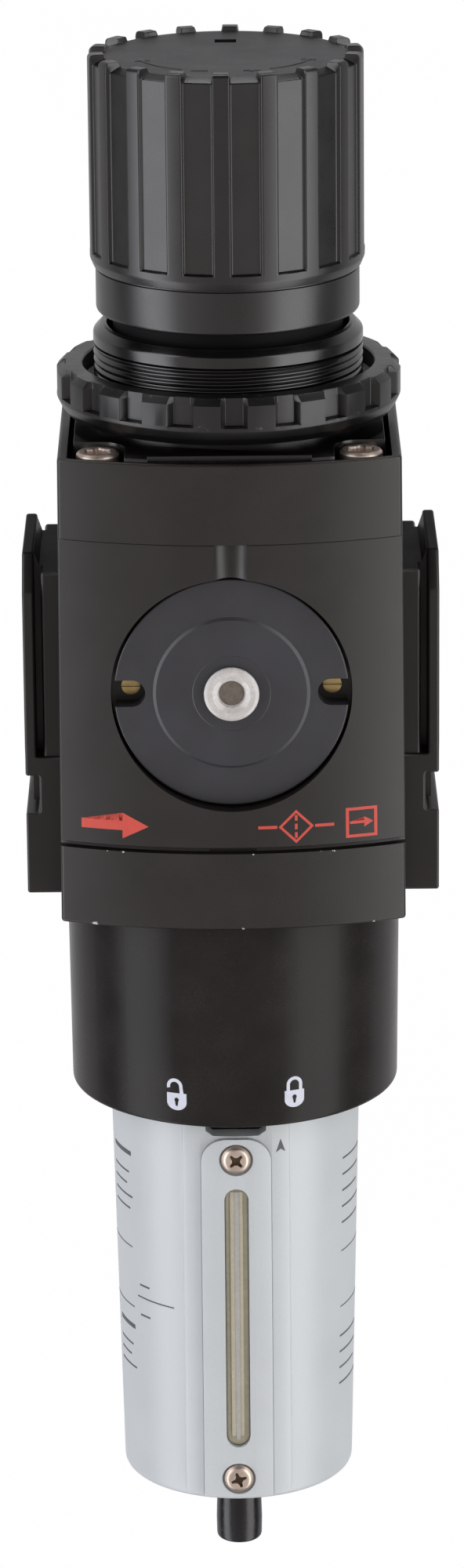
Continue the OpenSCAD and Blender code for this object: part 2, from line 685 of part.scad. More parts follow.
// Ring of slanted vanes that spins the incoming air.
module deflector() color([0.85, 0.85, 0.82]) {
    vanes = 12;
    difference() {
        union() {
            tube(hub_r, 10, -47, hub_bottom);
            for (i = [0 : vanes - 1]) rotate(i * 360 / vanes) intersection() {
                tube(24.6, hub_r - 0.5, -48.6, hub_bottom);
                translate([20, 0, -46.3]) rotate([38, 0, 0]) cube([12, 1.2, 14], center = true);
            }
        }
        translate([0, 0, -60]) cylinder(r = 10, h = 20);
    }
}

module element_gaskets() color(rubber) {
    tube(15.5, 9, -49, -47);
    tube(15.5, 9, -121, -119);
}

module filter_element() color(white) tube(17.5, 11.5, -119, -49);

module element_baffle() color([0.85, 0.85, 0.82]) rotate_extrude() polygon([
    [2.5, -124], [18, -124], [20, -132], [21.2, -132], [21.2, -121], [2.5, -121]]);

module element_stud() color(steel) translate([0, 0, -134]) cylinder(r = 2.5, h = 93);

module element_nut() color(steel) difference() {
    hexagon_bar(11, -129, -124);
    translate([0, 0, -130]) cylinder(r = 2.5, h = 8);
}

body_casting();
front_face_plate();
rear_face_plate();
front_gauge_cover();
rear_gauge_cover();
front_port_plug();
rear_port_plug();
gauge_cover_screws();
bonnet();
bonnet_screws();
diaphragm();
valve_seat();
valve_guide();
valve_guide_seal();
valve_spring();
range_spring();
thrust_washer();
knob_detent_ring();
deflector();
element_gaskets();
filter_element();
element_baffle();
element_stud();
element_nut();
collar();
adjusting_screw();
screw_clip();
knob();
spring_seat_nut();
diaphragm_plate_upper();
diaphragm_plate_lower();
diaphragm_nut();
valve_stem();
poppet();
poppet_seal();
bowl();
bowl_seal_ring();
sight_glass();
sight_gasket();
sight_cover();
sight_screws();
drain_bush();
drain_bush_seal();
drain_knob();
drain_stem();
panel_nut();
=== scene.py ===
"""Looks of the filter regulator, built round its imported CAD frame. Shapes are in millimetres until they become meshes.

The front of the unit faces -Y and its pipe axis is X. An azimuth is measured from the front, towards +X.
"""
import math

import bmesh
import bpy
from mathutils import Matrix, Vector
from bpy_extras.object_utils import world_to_camera_view


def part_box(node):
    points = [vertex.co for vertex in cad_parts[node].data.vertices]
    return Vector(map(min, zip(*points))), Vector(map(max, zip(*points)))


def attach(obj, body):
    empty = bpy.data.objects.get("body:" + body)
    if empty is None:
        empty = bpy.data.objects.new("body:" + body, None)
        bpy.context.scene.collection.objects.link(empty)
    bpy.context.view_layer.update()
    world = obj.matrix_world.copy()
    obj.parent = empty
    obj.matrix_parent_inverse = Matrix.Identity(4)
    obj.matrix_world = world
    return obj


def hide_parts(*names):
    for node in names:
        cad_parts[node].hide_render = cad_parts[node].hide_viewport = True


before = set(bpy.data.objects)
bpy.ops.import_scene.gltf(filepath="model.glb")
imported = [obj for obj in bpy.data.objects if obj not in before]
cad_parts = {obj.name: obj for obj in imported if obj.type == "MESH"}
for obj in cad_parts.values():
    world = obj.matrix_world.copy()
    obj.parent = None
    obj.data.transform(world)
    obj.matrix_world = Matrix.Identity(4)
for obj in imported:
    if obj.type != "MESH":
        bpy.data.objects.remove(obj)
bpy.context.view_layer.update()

MM = 0.001
TAU = 2 * math.pi


# ---------------------------------------------------------------- materials

def new_material(name):
    """An empty node material: (material, node tree, its shader)."""
    material = bpy.data.materials.new(name)
    material.use_nodes = True
    tree = material.node_tree
    return material, tree, tree.nodes["Principled BSDF"]


def add_noise(tree, feature_mm, detail=3.0, rough=0.55, stretch=(1, 1, 1)):
    """Noise in object space whose blobs are about feature_mm across."""
    coords = tree.nodes.new("ShaderNodeTexCoord")
    mapping = tree.nodes.new("ShaderNodeMapping")
    noise = tree.nodes.new("ShaderNodeTexNoise")
    mapping.inputs["Scale"].default_value = stretch
    noise.inputs["Scale"].default_value = 1 / (feature_mm * MM)
    noise.inputs["Detail"].default_value = detail
    noise.inputs["Roughness"].default_value = rough
    tree.links.new(coords.outputs["Object"], mapping.inputs["Vector"])
    tree.links.new(mapping.outputs["Vector"], noise.inputs["Vector"])
    return noise.outputs["Fac"]


def add_range(tree, value, from_low, from_high, low, high):
    """value mapped from one range to another, clamped."""
    node = tree.nodes.new("ShaderNodeMapRange")
    for socket, number in zip(("From Min", "From Max", "To Min", "To Max"), (from_low, from_high, low, high)):
        node.inputs[socket].default_value = number
    tree.links.new(value, node.inputs["Value"])
    return node.outputs["Result"]


def add_math(tree, operation, a, b):
    """One math node; a and b are sockets or numbers."""
    node = tree.nodes.new("ShaderNodeMath")
    node.operation = operation
    for socket, value in zip(node.inputs, (a, b)):
        if isinstance(value, (int, float)):
            socket.default_value = value
        else:
            tree.links.new(value, socket)
    return node.outputs[0]


def add_mix(tree, factor, colour_a, colour_b):
    """A colour mix; the colours are sockets or (r, g, b)."""
    node = tree.nodes.new("ShaderNodeMix")
    node.data_type = "RGBA"
    tree.links.new(factor, node.inputs["Factor"])
    for socket, colour in (("A", colour_a), ("B", colour_b)):
        target = [s for s in node.inputs if s.name == socket and s.type == "RGBA"][0]
        if isinstance(colour, tuple):
            target.default_value = (*colour, 1)
        else:
            tree.links.new(colour, target)
    return [s for s in node.outputs if s.type == "RGBA"][0]


def add_bump(tree, shader, height, strength, depth_mm):
    """Bump from height, on top of any bump that the shader already has."""
    node = tree.nodes.new("ShaderNodeBump")
    node.inputs["Strength"].default_value = strength
    node.inputs["Distance"].default_value = depth_mm * MM
    tree.links.new(height, node.inputs["Height"])
    if shader.inputs["Normal"].is_linked:
        tree.links.new(shader.inputs["Normal"].links[0].from_socket, node.inputs["Normal"])
    tree.links.new(node.outputs["Normal"], shader.inputs["Normal"])


def surface(name, colour, vary, rough, grain_mm, grain_depth_mm, metallic=0.0, specular=0.5,
            blotch_mm=14.0, rough_vary=0.06, coat=0.0):
    """A finish with slow colour variation, fine grain and uneven gloss."""
    material, tree, shader = new_material(name)
    blotch = add_noise(tree, blotch_mm, 4.0)
    grain = add_noise(tree, grain_mm, 2.0)
    fine = add_math(tree, "MULTIPLY_ADD", grain, 0.45)
    fine.node.inputs[2].default_value = 0.0
    both = add_math(tree, "ADD", fine, add_math(tree, "MULTIPLY", blotch, 0.55))
    dark = tuple(c * (1 - vary) for c in colour)
    light = tuple(min(1.0, c * (1 + vary)) for c in colour)
    tree.links.new(add_mix(tree, add_range(tree, both, 0.38, 0.62, 0, 1), dark, light), shader.inputs["Base Color"])
    gloss = add_math(tree, "ADD", add_math(tree, "MULTIPLY", blotch, 0.5), add_math(tree, "MULTIPLY", grain, 0.5))
    tree.links.new(add_range(tree, gloss, 0.35, 0.65, rough - rough_vary, rough + rough_vary),
                   shader.inputs["Roughness"])
    shader.inputs["Metallic"].default_value = metallic
    shader.inputs["Specular IOR Level"].default_value = specular
    shader.inputs["Coat Weight"].default_value = coat
    add_bump(tree, shader, grain, 1.0, grain_depth_mm)
    return material


def add_chips(material, heights_mm, colour, size_mm=0.5, amount=0.7):
    """Small bare spots of paint, only close to the given heights, where edges get knocked."""
    tree = material.node_tree
    shader = tree.nodes["Principled BSDF"]
    coords = tree.nodes.new("ShaderNodeTexCoord")
    split = tree.nodes.new("ShaderNodeSeparateXYZ")
    tree.links.new(coords.outputs["Object"], split.inputs["Vector"])
    spots = add_range(tree, add_noise(tree, size_mm * 3.2, 3.0, 0.7), amount, amount + 0.03, 0, 1)
    near = None
    for height in heights_mm:
        gap = add_math(tree, "ABSOLUTE", add_math(tree, "SUBTRACT", split.outputs["Z"], height * MM), 0)
        band = add_range(tree, gap, 0.0002, 0.0006, 1, 0)
        near = band if near is None else add_math(tree, "MAXIMUM", near, band)
    mask = add_math(tree, "MULTIPLY", spots, near)
    old = shader.inputs["Base Color"].links[0].from_socket
    tree.links.new(add_mix(tree, mask, old, colour), shader.inputs["Base Color"])


def add_spots(material, spots, colour):
    """Bare spots at knocked places. Each spot is (x, y, z, radius) in millimetres."""
    tree = material.node_tree
    shader = tree.nodes["Principled BSDF"]
    coords = tree.nodes.new("ShaderNodeTexCoord")
    ragged = add_range(tree, add_noise(tree, 0.9, 3.0, 0.7), 0.3, 0.7, -0.00035, 0.00035)
    near = None
    for x, y, z, radius in spots:
        gap = tree.nodes.new("ShaderNodeVectorMath")
        gap.operation = "DISTANCE"
        gap.inputs[1].default_value = (x * MM, y * MM, z * MM)
        tree.links.new(coords.outputs["Object"], gap.inputs[0])
        edge = add_math(tree, "ADD", gap.outputs["Value"], ragged)
        spot = add_range(tree, edge, radius * 0.9 * MM, radius * 1.1 * MM, 1, 0)
        near = spot if near is None else add_math(tree, "MAXIMUM", near, spot)
    old = shader.inputs["Base Color"].links[0].from_socket
    tree.links.new(add_mix(tree, near, old, colour), shader.inputs["Base Color"])


def brushed(name, colour, rough, line_mm=0.12, metallic=1.0, spin=(1, 1, 9)):
    """Turned or drawn metal with fine lines."""
    material, tree, shader = new_material(name)
    lines = add_noise(tree, line_mm * 4, 3.0, 0.6, spin)
    stain = add_noise(tree, 3.0, 3.0)
    dark = tuple(c * 0.82 for c in colour)
    tree.links.new(add_mix(tree, add_range(tree, stain, 0.35, 0.65, 0, 1), dark, colour), shader.inputs["Base Color"])
    tree.links.new(add_range(tree, lines, 0.3, 0.7, rough - 0.07, rough + 0.09), shader.inputs["Roughness"])
    shader.inputs["Metallic"].default_value = metallic
    add_bump(tree, shader, lines, 0.5, 0.006)
    return material


def clear_plastic(name, colour, rough, transmission, ior=1.5, cloud_mm=2.5, scatter_mm=0.0):
    """Cloudy see-through plastic."""
    material, tree, shader = new_material(name)
    cloud = add_noise(tree, cloud_mm, 3.0, 0.5, (1, 1, 0.25))
    dark = tuple(c * 0.86 for c in colour)
    tree.links.new(add_mix(tree, add_range(tree, cloud, 0.35, 0.65, 0, 1), dark, colour), shader.inputs["Base Color"])
    tree.links.new(add_range(tree, cloud, 0.3, 0.7, rough - 0.04, rough + 0.06), shader.inputs["Roughness"])
    shader.inputs["Transmission Weight"].default_value = transmission
    shader.inputs["IOR"].default_value = ior
    if scatter_mm:
        shader.inputs["Subsurface Weight"].default_value = 0.6
        shader.inputs["Subsurface Radius"].default_value = (1.0, 0.95, 0.9)
        shader.inputs["Subsurface Scale"].default_value = scatter_mm * MM
    add_bump(tree, shader, cloud, 0.3, 0.02)
    return material


def printed(name, colour, rough=0.5):
    """Printed ink with a slightly uneven film."""
    return surface(name, colour, 0.06, rough, 0.25, 0.004, blotch_mm=1.5, rough_vary=0.08)


CAST = surface("cast_paint", (0.0080, 0.0066, 0.0056), 0.16, 0.40, 0.32, 0.014, specular=0.46)
# Painted shade: a darker, duller copy of the cast paint, laid where parts sit in shadow. It goes on the port blocks'
# tops, on the bonnet's tower inside the knob and on the bowl's scoop under the collar. Its rougher gloss stands for an
# as-cast surface.
SHADE_PAINT = surface("painted_shade", (0.0035, 0.0032, 0.0030), 0.20, 0.60, 0.32, 0.014, specular=0.10)
PLATE = surface("face_paint", (0.0082, 0.0069, 0.0060), 0.14, 0.40, 0.30, 0.012, specular=0.46)
COLLAR = surface("collar_paint", (0.0145, 0.0130, 0.0120), 0.20, 0.25, 0.28, 0.008, specular=0.12)
NECK = surface("neck_black", (0.0030, 0.0028, 0.0030), 0.25, 0.20, 0.35, 0.004, specular=0.62)
KNOB = surface("knob_nylon", (0.0048, 0.0043, 0.0045), 0.16, 0.31, 0.22, 0.007, specular=0.60)
KNOB_TOP = surface("knob_top_grain", (0.0045, 0.0042, 0.0055), 0.16, 0.46, 0.30, 0.024, specular=0.48)
NUT = surface("nut_nylon", (0.0030, 0.0028, 0.0030), 0.20, 0.34, 0.26, 0.008, specular=0.52)
COVER = surface("cover_grain", (0.0190, 0.0190, 0.0240), 0.14, 0.42, 0.24, 0.016, specular=0.52)
BOWL = surface("bowl_silver_paint", (0.435, 0.460, 0.478), 0.030, 0.44, 0.42, 0.010, metallic=0.10, blotch_mm=22.0)
GLOSS = surface("drain_gloss", (0.0045, 0.0042, 0.0060), 0.2, 0.24, 0.8, 0.020, specular=0.4)
RUBBER = surface("nitrile_rubber", (0.016, 0.016, 0.016), 0.2, 0.62, 0.20, 0.010, specular=0.3)
INNER = surface("inner_acetal", (0.62, 0.61, 0.56), 0.05, 0.45, 0.5, 0.008)
SINTER = surface("sintered_white", (0.74, 0.72, 0.66), 0.08, 0.85, 0.35, 0.10)
NICKEL = brushed("nickel_plate", (0.6120, 0.5100, 0.4420), 0.42)
STEEL = brushed("zinc_plate", (0.60, 0.61, 0.62), 0.28)
BRASS = brushed("turned_brass", (0.44, 0.33, 0.15), 0.34)
# Painted shade: a dark disc at the bottom of each cross recess stands for the shade inside it.
RECESS_SHADE = surface("screw_recess", (0.10, 0.065, 0.045), 0.3, 0.45, 0.3, 0.010, metallic=0.7)
PLUG = surface("plug_polyethylene", (0.4368, 0.4200, 0.4116), 0.05, 0.26, 0.9, 0.010, blotch_mm=3.0, coat=0.3)
PLUG_CORE = surface("plug_core", (0.1070, 0.0884, 0.0744), 0.18, 0.35, 0.8, 0.02, blotch_mm=2.0)
SIGHT = surface("sight_nylon", (0.3098, 0.2869, 0.2066), 0.08, 0.20, 0.9, 0.010, blotch_mm=5.0, coat=0.5)
# Painted highlight: the pale strips either side of the sight tube stand for light reflected off the glass.
SIGHT_HIGHLIGHT = surface("sight_highlight", (0.3611, 0.3333, 0.2569), 0.05, 0.22, 0.8, 0.006, blotch_mm=5.0, coat=0.4)
SIGHT_CORE = surface("sight_core", (0.3029, 0.2983, 0.2846), 0.08, 0.22, 0.8, 0.006, blotch_mm=5.0, coat=0.4)
RED = printed("red_ink", (0.46, 0.050, 0.034))
LILAC = printed("lilac_ink", (0.5100, 0.5270, 0.6120))
INK = printed("dark_ink", (0.060, 0.064, 0.070))
add_chips(NUT, (59.9, 66.3), (0.05, 0.046, 0.042), 0.6, 0.63)


# ---------------------------------------------------------------- mesh tools

def build(name, points, faces, material, sharp_deg=32.0):
    """A mesh object from millimetre points, with outward faces and smooth shading below sharp_deg."""
    mesh = bpy.data.meshes.new(name)
    mesh.from_pydata([(x * MM, y * MM, z * MM) for x, y, z in points], [], faces)
    bm = bmesh.new()
    bm.from_mesh(mesh)
    bmesh.ops.recalc_face_normals(bm, faces=bm.faces)
    bm.to_mesh(mesh)
    bm.free()
    obj = bpy.data.objects.new(name, mesh)
    bpy.context.scene.collection.objects.link(obj)
    mesh.materials.append(material)
    smooth(obj, sharp_deg)
    return obj


def smooth(obj, sharp_deg=32.0):
    """Smooth shading, with edges sharper than sharp_deg left sharp."""
    mesh = obj.data
    mesh.shade_smooth()
    mesh.set_sharp_from_angle(angle=math.radians(sharp_deg))


def bake_modifiers(obj):
    """Replaces the mesh by what its modifiers make of it."""
    graph = bpy.context.evaluated_depsgraph_get()
    mesh = bpy.data.meshes.new_from_object(obj.evaluated_get(graph))
    obj.modifiers.clear()
    obj.data = mesh


def combine(obj, other, operation="DIFFERENCE"):
    """Boolean of obj with other, which is used up."""
    modifier = obj.modifiers.new("combine", "BOOLEAN")
    modifier.operation = operation
    modifier.solver = "EXACT"
    modifier.object = other
    bake_modifiers(obj)
    bpy.data.objects.remove(other)
    return obj


def bevel(obj, width_mm, segments=3, angle_deg=30.0, sharp_deg=40.0):
    """Rounds the edges sharper than angle_deg."""
    modifier = obj.modifiers.new("bevel", "BEVEL")
    modifier.width = width_mm * MM
    modifier.segments = segments
    modifier.limit_method = "ANGLE"
    modifier.angle_limit = math.radians(angle_deg)
    modifier.miter_outer = "MITER_ARC"
    modifier.use_clamp_overlap = True
    modifier.harden_normals = False
    bake_modifiers(obj)
    smooth(obj, sharp_deg)
    return obj


def fillet(corners, steps=5):
    """A polyline with round corners. Each corner is (a, b, radius); the first and last stay sharp."""
    points = []
    for i, (a, b, radius) in enumerate(corners):
        if radius <= 0 or i in (0, len(corners) - 1):
            points += [(a, b)] * (1 if radius <= 0 and i not in (0, len(corners) - 1) else 1)
            continue
        here = Vector((a, b))
        back = Vector(corners[i - 1][:2]) - here
        on = Vector(corners[i + 1][:2]) - here
        half = back.angle(on) / 2
        cut = min(radius / math.tan(half), 0.49 * back.length, 0.49 * on.length)
        start, end = here + back.normalized() * cut, here + on.normalized() * cut
        for k in range(steps + 1):
            t = k / steps
            points.append(tuple((1 - t) ** 2 * start + 2 * t * (1 - t) * here + t * t * end))
    return points


def turn(radius, azimuth, z):
    """A point at a radius and azimuth (radians from the front)."""
    return (radius * math.sin(azimuth), -radius * math.cos(azimuth), z)


def even(count, start=0.0):
    return [start + TAU * i / count for i in range(count)]


def wrap_faces(columns, rows, closed_rows):
    """Quads of a grid that wraps round; closed_rows joins the last row to the first."""
    faces = []
    for i in range(columns):
        n = (i + 1) % columns
        for j in range(rows if closed_rows else rows - 1):
            m = (j + 1) % rows
            faces.append((i * rows + j, n * rows + j, n * rows + m, i * rows + m))
    return faces


def revolve(name, profile, material, angles=None, sharp_deg=32.0, closed=True, reshape=None):
    """Turns a profile of (radius, z) about the vertical axis. reshape(azimuth, index, radius, z) may move a point.

    A profile that starts and ends on the axis (radius 0) is not closed on itself.
    """
    angles = angles or even(192)
    points = []
    for azimuth in angles:
        for j, (radius, z) in enumerate(profile):
            if reshape:
                radius, z = reshape(azimuth, j, radius, z)
            points.append(turn(radius, azimuth, z))
    faces = wrap_faces(len(angles), len(profile), closed)
    obj = build(name, points, faces, material, sharp_deg)
    if not closed:
        bm = bmesh.new()
        bm.from_mesh(obj.data)
        bmesh.ops.remove_doubles(bm, verts=bm.verts, dist=1e-7)
        bmesh.ops.recalc_face_normals(bm, faces=bm.faces)
        bm.to_mesh(obj.data)
        bm.free()
        smooth(obj, sharp_deg)
    return obj


def prism(name, outline, low, high, material, axis="Z"):
    """An outline of 2D points extruded along an axis. Along Y the outline is (x, z) and low, high are distances in front."""
    count = len(outline)
    if axis == "Z":
        points = [(a, b, low) for a, b in outline] + [(a, b, high) for a, b in outline]
    elif axis == "Y":
        points = [(a, -low, b) for a, b in outline] + [(a, -high, b) for a, b in outline]
    else:
        points = [(low, a, b) for a, b in outline] + [(high, a, b) for a, b in outline]
    faces = [tuple(range(count)), tuple(range(count, 2 * count))]
    faces += [(i, (i + 1) % count, count + (i + 1) % count, count + i) for i in range(count)]
    return build(name, points, faces, material)


def block(name, low, high, material):
    """A box between two corners, as a cutter or a starting shape."""
    outline = [(low[0], low[1]), (high[0], low[1]), (high[0], high[1]), (low[0], high[1])]
    return prism(name, outline, low[2], high[2], material)


def circle(radius, centre=(0.0, 0.0), count=96):
    return [(centre[0] + radius * math.cos(a), centre[1] + radius * math.sin(a)) for a in even(count)]


def facing(profile, name, material, x=0.0, z=0.0, count=96, sharp_deg=32.0, closed=True):
    """Turns a profile of (radius, distance in front) about a line along Y through x, z."""
    points = [(x + r * math.cos(a), -y, z + r * math.sin(a)) for a in even(count) for r, y in profile]
    obj = build(name, points, wrap_faces(count, len(profile), closed), material, sharp_deg)
    if not closed:
        bm = bmesh.new()
        bm.from_mesh(obj.data)
        bmesh.ops.remove_doubles(bm, verts=bm.verts, dist=1e-7)
        bmesh.ops.recalc_face_normals(bm, faces=bm.faces)
        bm.to_mesh(obj.data)
        bm.free()
        smooth(obj, sharp_deg)
    return obj


def mirrored(obj, name, axes):
    """A copy of obj mirrored in the given axes, such as "Y"."""
    copy = bpy.data.objects.new(name, obj.data.copy())
    bpy.context.scene.collection.objects.link(copy)
    scale = [-1 if letter in axes else 1 for letter in "XYZ"]
    copy.data.transform(Matrix.Diagonal((*scale, 1)))
    if len(axes) % 2:
        copy.data.flip_normals()
    return copy


def joined(name, parts):
    """Several objects as one."""
    bm = bmesh.new()
    for part in parts:
        bm.from_mesh(part.data)
    mesh = bpy.data.meshes.new(name)
    bm.to_mesh(mesh)
    bm.free()
    for material in parts[0].data.materials:
        mesh.materials.append(material)
    obj = bpy.data.objects.new(name, mesh)
    bpy.context.scene.collection.objects.link(obj)
    for part in parts:
        bpy.data.objects.remove(part)
    return obj


def cad_copy(node, name, material):
    """A copy of a CAD node's mesh with its triangles merged back into flat faces."""
    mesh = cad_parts[node].data.copy()
    obj = bpy.data.objects.new(name, mesh)
    bpy.context.scene.collection.objects.link(obj)
    mesh.materials.clear()
    mesh.materials.append(material)
    bm = bmesh.new()
    bm.from_mesh(mesh)
    bmesh.ops.remove_doubles(bm, verts=bm.verts, dist=2e-7)
    for face in bm.faces:
        face.material_index = 0
    bmesh.ops.dissolve_limit(bm, angle_limit=math.radians(0.6), verts=bm.verts, edges=bm.edges)
    bm.to_mesh(mesh)
    bm.free()
    for attribute in [a.name for a in mesh.attributes if a.name == "custom_normal"]:
        mesh.attributes.remove(mesh.attributes[attribute])
    return obj


def place(obj, body, slot, *nodes):
    """Says which body a piece moves with and the CAD nodes that it stands for; its record slot is not used."""
    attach(obj, body)
    if nodes:
        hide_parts(*nodes)
    return obj


def box_mm(node):
    low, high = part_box(node)
    return low / MM, high / MM


# ---------------------------------------------------------------- body casting

BODY_LOW, BODY_HIGH = box_mm("body_casting")
PLATE_LOW, PLATE_HIGH = box_mm("front_face_plate")
PORT_X = BODY_HIGH.x
HALF_WIDTH = PLATE_HIGH.x
HALF_DEPTH = -PLATE_LOW.y
FACE_RADIUS = 104.0
PLATE_DEPTH = 2.2
COVER_HOLE = 26.7
BONNET_SEAT = 40.0
PORT_RADIUS = 12.3
PORT_DEPTH = 18.5
DRAFT = 0.4                  # the body is this much wider at its bottom than at its middle height


def face_y(x, inwards=0.0):
    """Distance in front of the axis of the curved front face, or of a surface the given depth behind it."""
    return HALF_DEPTH - FACE_RADIUS + math.sqrt((FACE_RADIUS - inwards) ** 2 - x * x)


def face_arc(half_x, inwards=0.0, count=48):
    """Points of the curved front face from -x to +x, seen from above."""
    return [(x, -face_y(x, inwards)) for x in [half_x * (2 * k / count - 1) for k in range(count + 1)]]


def plan(side_in, face_in):
    """Outline of the body from above, drawn in from its sides and its curved faces."""
    arc = face_arc(HALF_WIDTH - side_in, face_in)
    return arc + [(-x, -y) for x, y in arc]


def draft(z):
    """How much wider or narrower than its middle height the body is at z."""
    middle = (BODY_LOW.z + BODY_HIGH.z) / 2
    return 1 - DRAFT / HALF_WIDTH * (z - middle) / (BODY_HIGH.z - middle)


def add_draft(obj):
    for vertex in obj.data.vertices:
        vertex.co.x *= draft(vertex.co.z / MM)
    return obj


def even_shading(obj):
    """Gives the curved front and rear faces the exact normals of their cylinder, and flat faces their own."""
    mesh = obj.data
    normals = [Vector(corner.vector) for corner in mesh.corner_normals]
    for face in mesh.polygons:
        side = 1 if face.normal.y > 0 else -1
        axis = Vector((0, side * (HALF_DEPTH - FACE_RADIUS) * MM, 0))
        away = (face.center - axis).xy.length / MM
        if abs(face.normal.z) < 0.03 and abs(face.normal.y) > 0.9 and abs(away - FACE_RADIUS) < 0.12:
            for loop in face.loop_indices:
                out = mesh.vertices[mesh.loops[loop].vertex_index].co - axis
                normals[loop] = Vector((out.x, out.y, 0)).normalized()
        elif max(abs(part) for part in face.normal) > 0.9985:
            for loop in face.loop_indices:
                normals[loop] = face.normal.copy()
    mesh.normals_split_custom_set(normals)
    return obj


def sideways(profile, name, material, count=96):
    """Turns a profile of (radius, x) about the pipe axis."""
    points = [(x, r * math.cos(a), r * math.sin(a)) for a in even(count) for r, x in profile]
    return build(name, points, wrap_faces(count, len(profile), True), material)


def port_block():
    """The +X pipe port: a neck, a clamp flange with a groove behind it, and a foot with a slot across it."""
    flange_x = PORT_X - 2.6
    neck_x = flange_x - 1.55
    root_x = HALF_WIDTH - 4
    neck_y, neck_top = 20.9, 22.95
    foot_y, foot_low, foot_top = 21.6, -52.1, -19.9
    neck = prism("neck", [(-neck_y, -30), (neck_y, -30), (neck_y, neck_top), (-neck_y, neck_top)], root_x, neck_x,
                 CAST, "X")
    core = prism("core", [(-15, -32), (15, -32), (15, neck_top), (-15, neck_top)], neck_x - 1, flange_x + 1, CAST, "X")
    half = [(foot_y - 0.05, -22.0), (foot_y, foot_top), (22.6, -17.3), (22.6, 18.3), (16.8, 26.5)]
    flange = prism("flange", half + [(-y, z) for y, z in reversed(half)], flange_x, PORT_X, CAST, "X")
    taper = prism("taper", [(flange_x + 1, 26.2), (flange_x, 26.2), (flange_x - 1.3, neck_top - 0.5),
                            (flange_x + 1, neck_top - 0.5)], -15, 15, CAST, "Y")
    foot = prism("foot", [(root_x, foot_low), (PORT_X, foot_low), (PORT_X, -33.1), (PORT_X - 3.1, -33.1),
                          (PORT_X - 3.1, -24.4), (PORT_X, -24.4), (PORT_X, -18.2), (flange_x + 0.2, -18.2),
                          (flange_x + 0.2, foot_top), (root_x, foot_top)], -foot_y, foot_y, CAST, "Y")
    bevel(neck, 0.7, 3)
    bevel(foot, 0.55, 3)
    bevel(flange, 0.6, 4)
    for part in (core, taper, flange, foot):
        combine(neck, part, "UNION")
    return neck


def axis_voids():
    """The bores on the vertical axis: valve chamber, stem guide, diaphragm chamber, bowl bore and collar register."""
    below = BODY_LOW.z - 1
    valve = [(0, -45), (12, -45), (12, -6), (10.5, -6), (10.5, 14), (2.05, 14), (2.05, 27), (25, 27), (25, 38.4),
             (29, 38.4), (29, 43.4), (0, 43.4)]
    bore = [(0, below), (33, below), (33, -50), (28.75, -50), (28.75, -41), (26, -41), (26, -20), (17, -20), (17, -44),
            (0, -44)]
    return [revolve("void", profile, CAST, even(96), closed=False) for profile in (valve, bore)]


def body_casting():
    obj = bevel(add_draft(prism("body", plan(0, 0), BODY_LOW.z, BODY_HIGH.z, CAST)), 0.7, 4)
    port = port_block()
    combine(obj, mirrored(port, "port", "X"), "UNION")
    combine(obj, port, "UNION")
    combine(obj, prism("pocket", plan(2.5, 1.1), BONNET_SEAT, BODY_HIGH.z + 1, CAST))
    wide = HALF_WIDTH + 4
    for face in (1, -1):
        outline = face_arc(wide, PLATE_DEPTH) + [(wide, -50), (-wide, -50)]
        seat = prism("seat", [(x, face * y) for x, y in outline], PLATE_LOW.z - 1.3, PLATE_HIGH.z, CAST)
        combine(obj, seat)
        combine(obj, prism("recess", circle(COVER_HOLE, count=160), face * 34, face * 43, CAST, "Y"))
        combine(obj, prism("gauge_port", circle(5.7, count=48), face * 20, face * 36, CAST, "Y"))
        mouth = [(0.01, PORT_X - PORT_DEPTH), (PORT_RADIUS + 0.7, PORT_X - PORT_DEPTH),
                 (PORT_RADIUS + 0.7, PORT_X - 1.6), (PORT_RADIUS + 2.6, PORT_X + 0.3), (0.01, PORT_X + 0.3)]
        combine(obj, sideways([(r, face * x) for r, x in mouth], "port", CAST))
    bevel(obj, 0.28, 2, 55)
    for void in axis_voids():
        combine(obj, void)
    combine(obj, prism("inlet", circle(7, count=48), -31, -23, CAST, "X"))
    combine(obj, block("inlet", (-29, -8, -24), (-20, 8, 6), CAST))
    combine(obj, prism("outlet", circle(7.5, (0, 3.5), 48), 0, 30, CAST, "X"))
    smooth(obj, 38)
    even_shading(obj)
    # Painted shade: the upward faces of the port blocks, in the groove between the body and the clamp flanges, take the
    # shade paint.
    obj.data.materials.append(SHADE_PAINT)
    for face in obj.data.polygons:
        if face.normal.z > 0.8 and abs(face.center.x) > (HALF_WIDTH + 0.6) * MM and face.center.z > 15 * MM:
            face.material_index = 1
    return place(obj, "housing", "cast_black", "body_casting")


def port_threads():
    """Pipe threads inside both ports, 14 to the inch."""
    pitch = 25.4 / 14
    count, per_turn = 96, 8
    length = PORT_DEPTH - 4
    rows = round(length / pitch * per_turn)
    parts = []
    for side in (-1, 1):
        points = []
        for azimuth in even(count):
            for j in range(rows + 1):
                x = PORT_X - 1.4 - length * j / rows
                tooth = abs((x / pitch + azimuth / TAU) % 1 - 0.5) * 2
                radius = PORT_RADIUS + 0.02 + 0.75 * tooth
                points.append((side * x, radius * math.cos(azimuth), radius * math.sin(azimuth)))
            for x in (PORT_X - 1.4 - length, PORT_X - 1.4):
                points.append((side * x, (PORT_RADIUS + 1) * math.cos(azimuth), (PORT_RADIUS + 1) * math.sin(azimuth)))
        parts.append(build("thread", points, wrap_faces(count, rows + 3, True), CAST, 50))
    return place(joined("port_threads", parts), "housing", "cast_black")


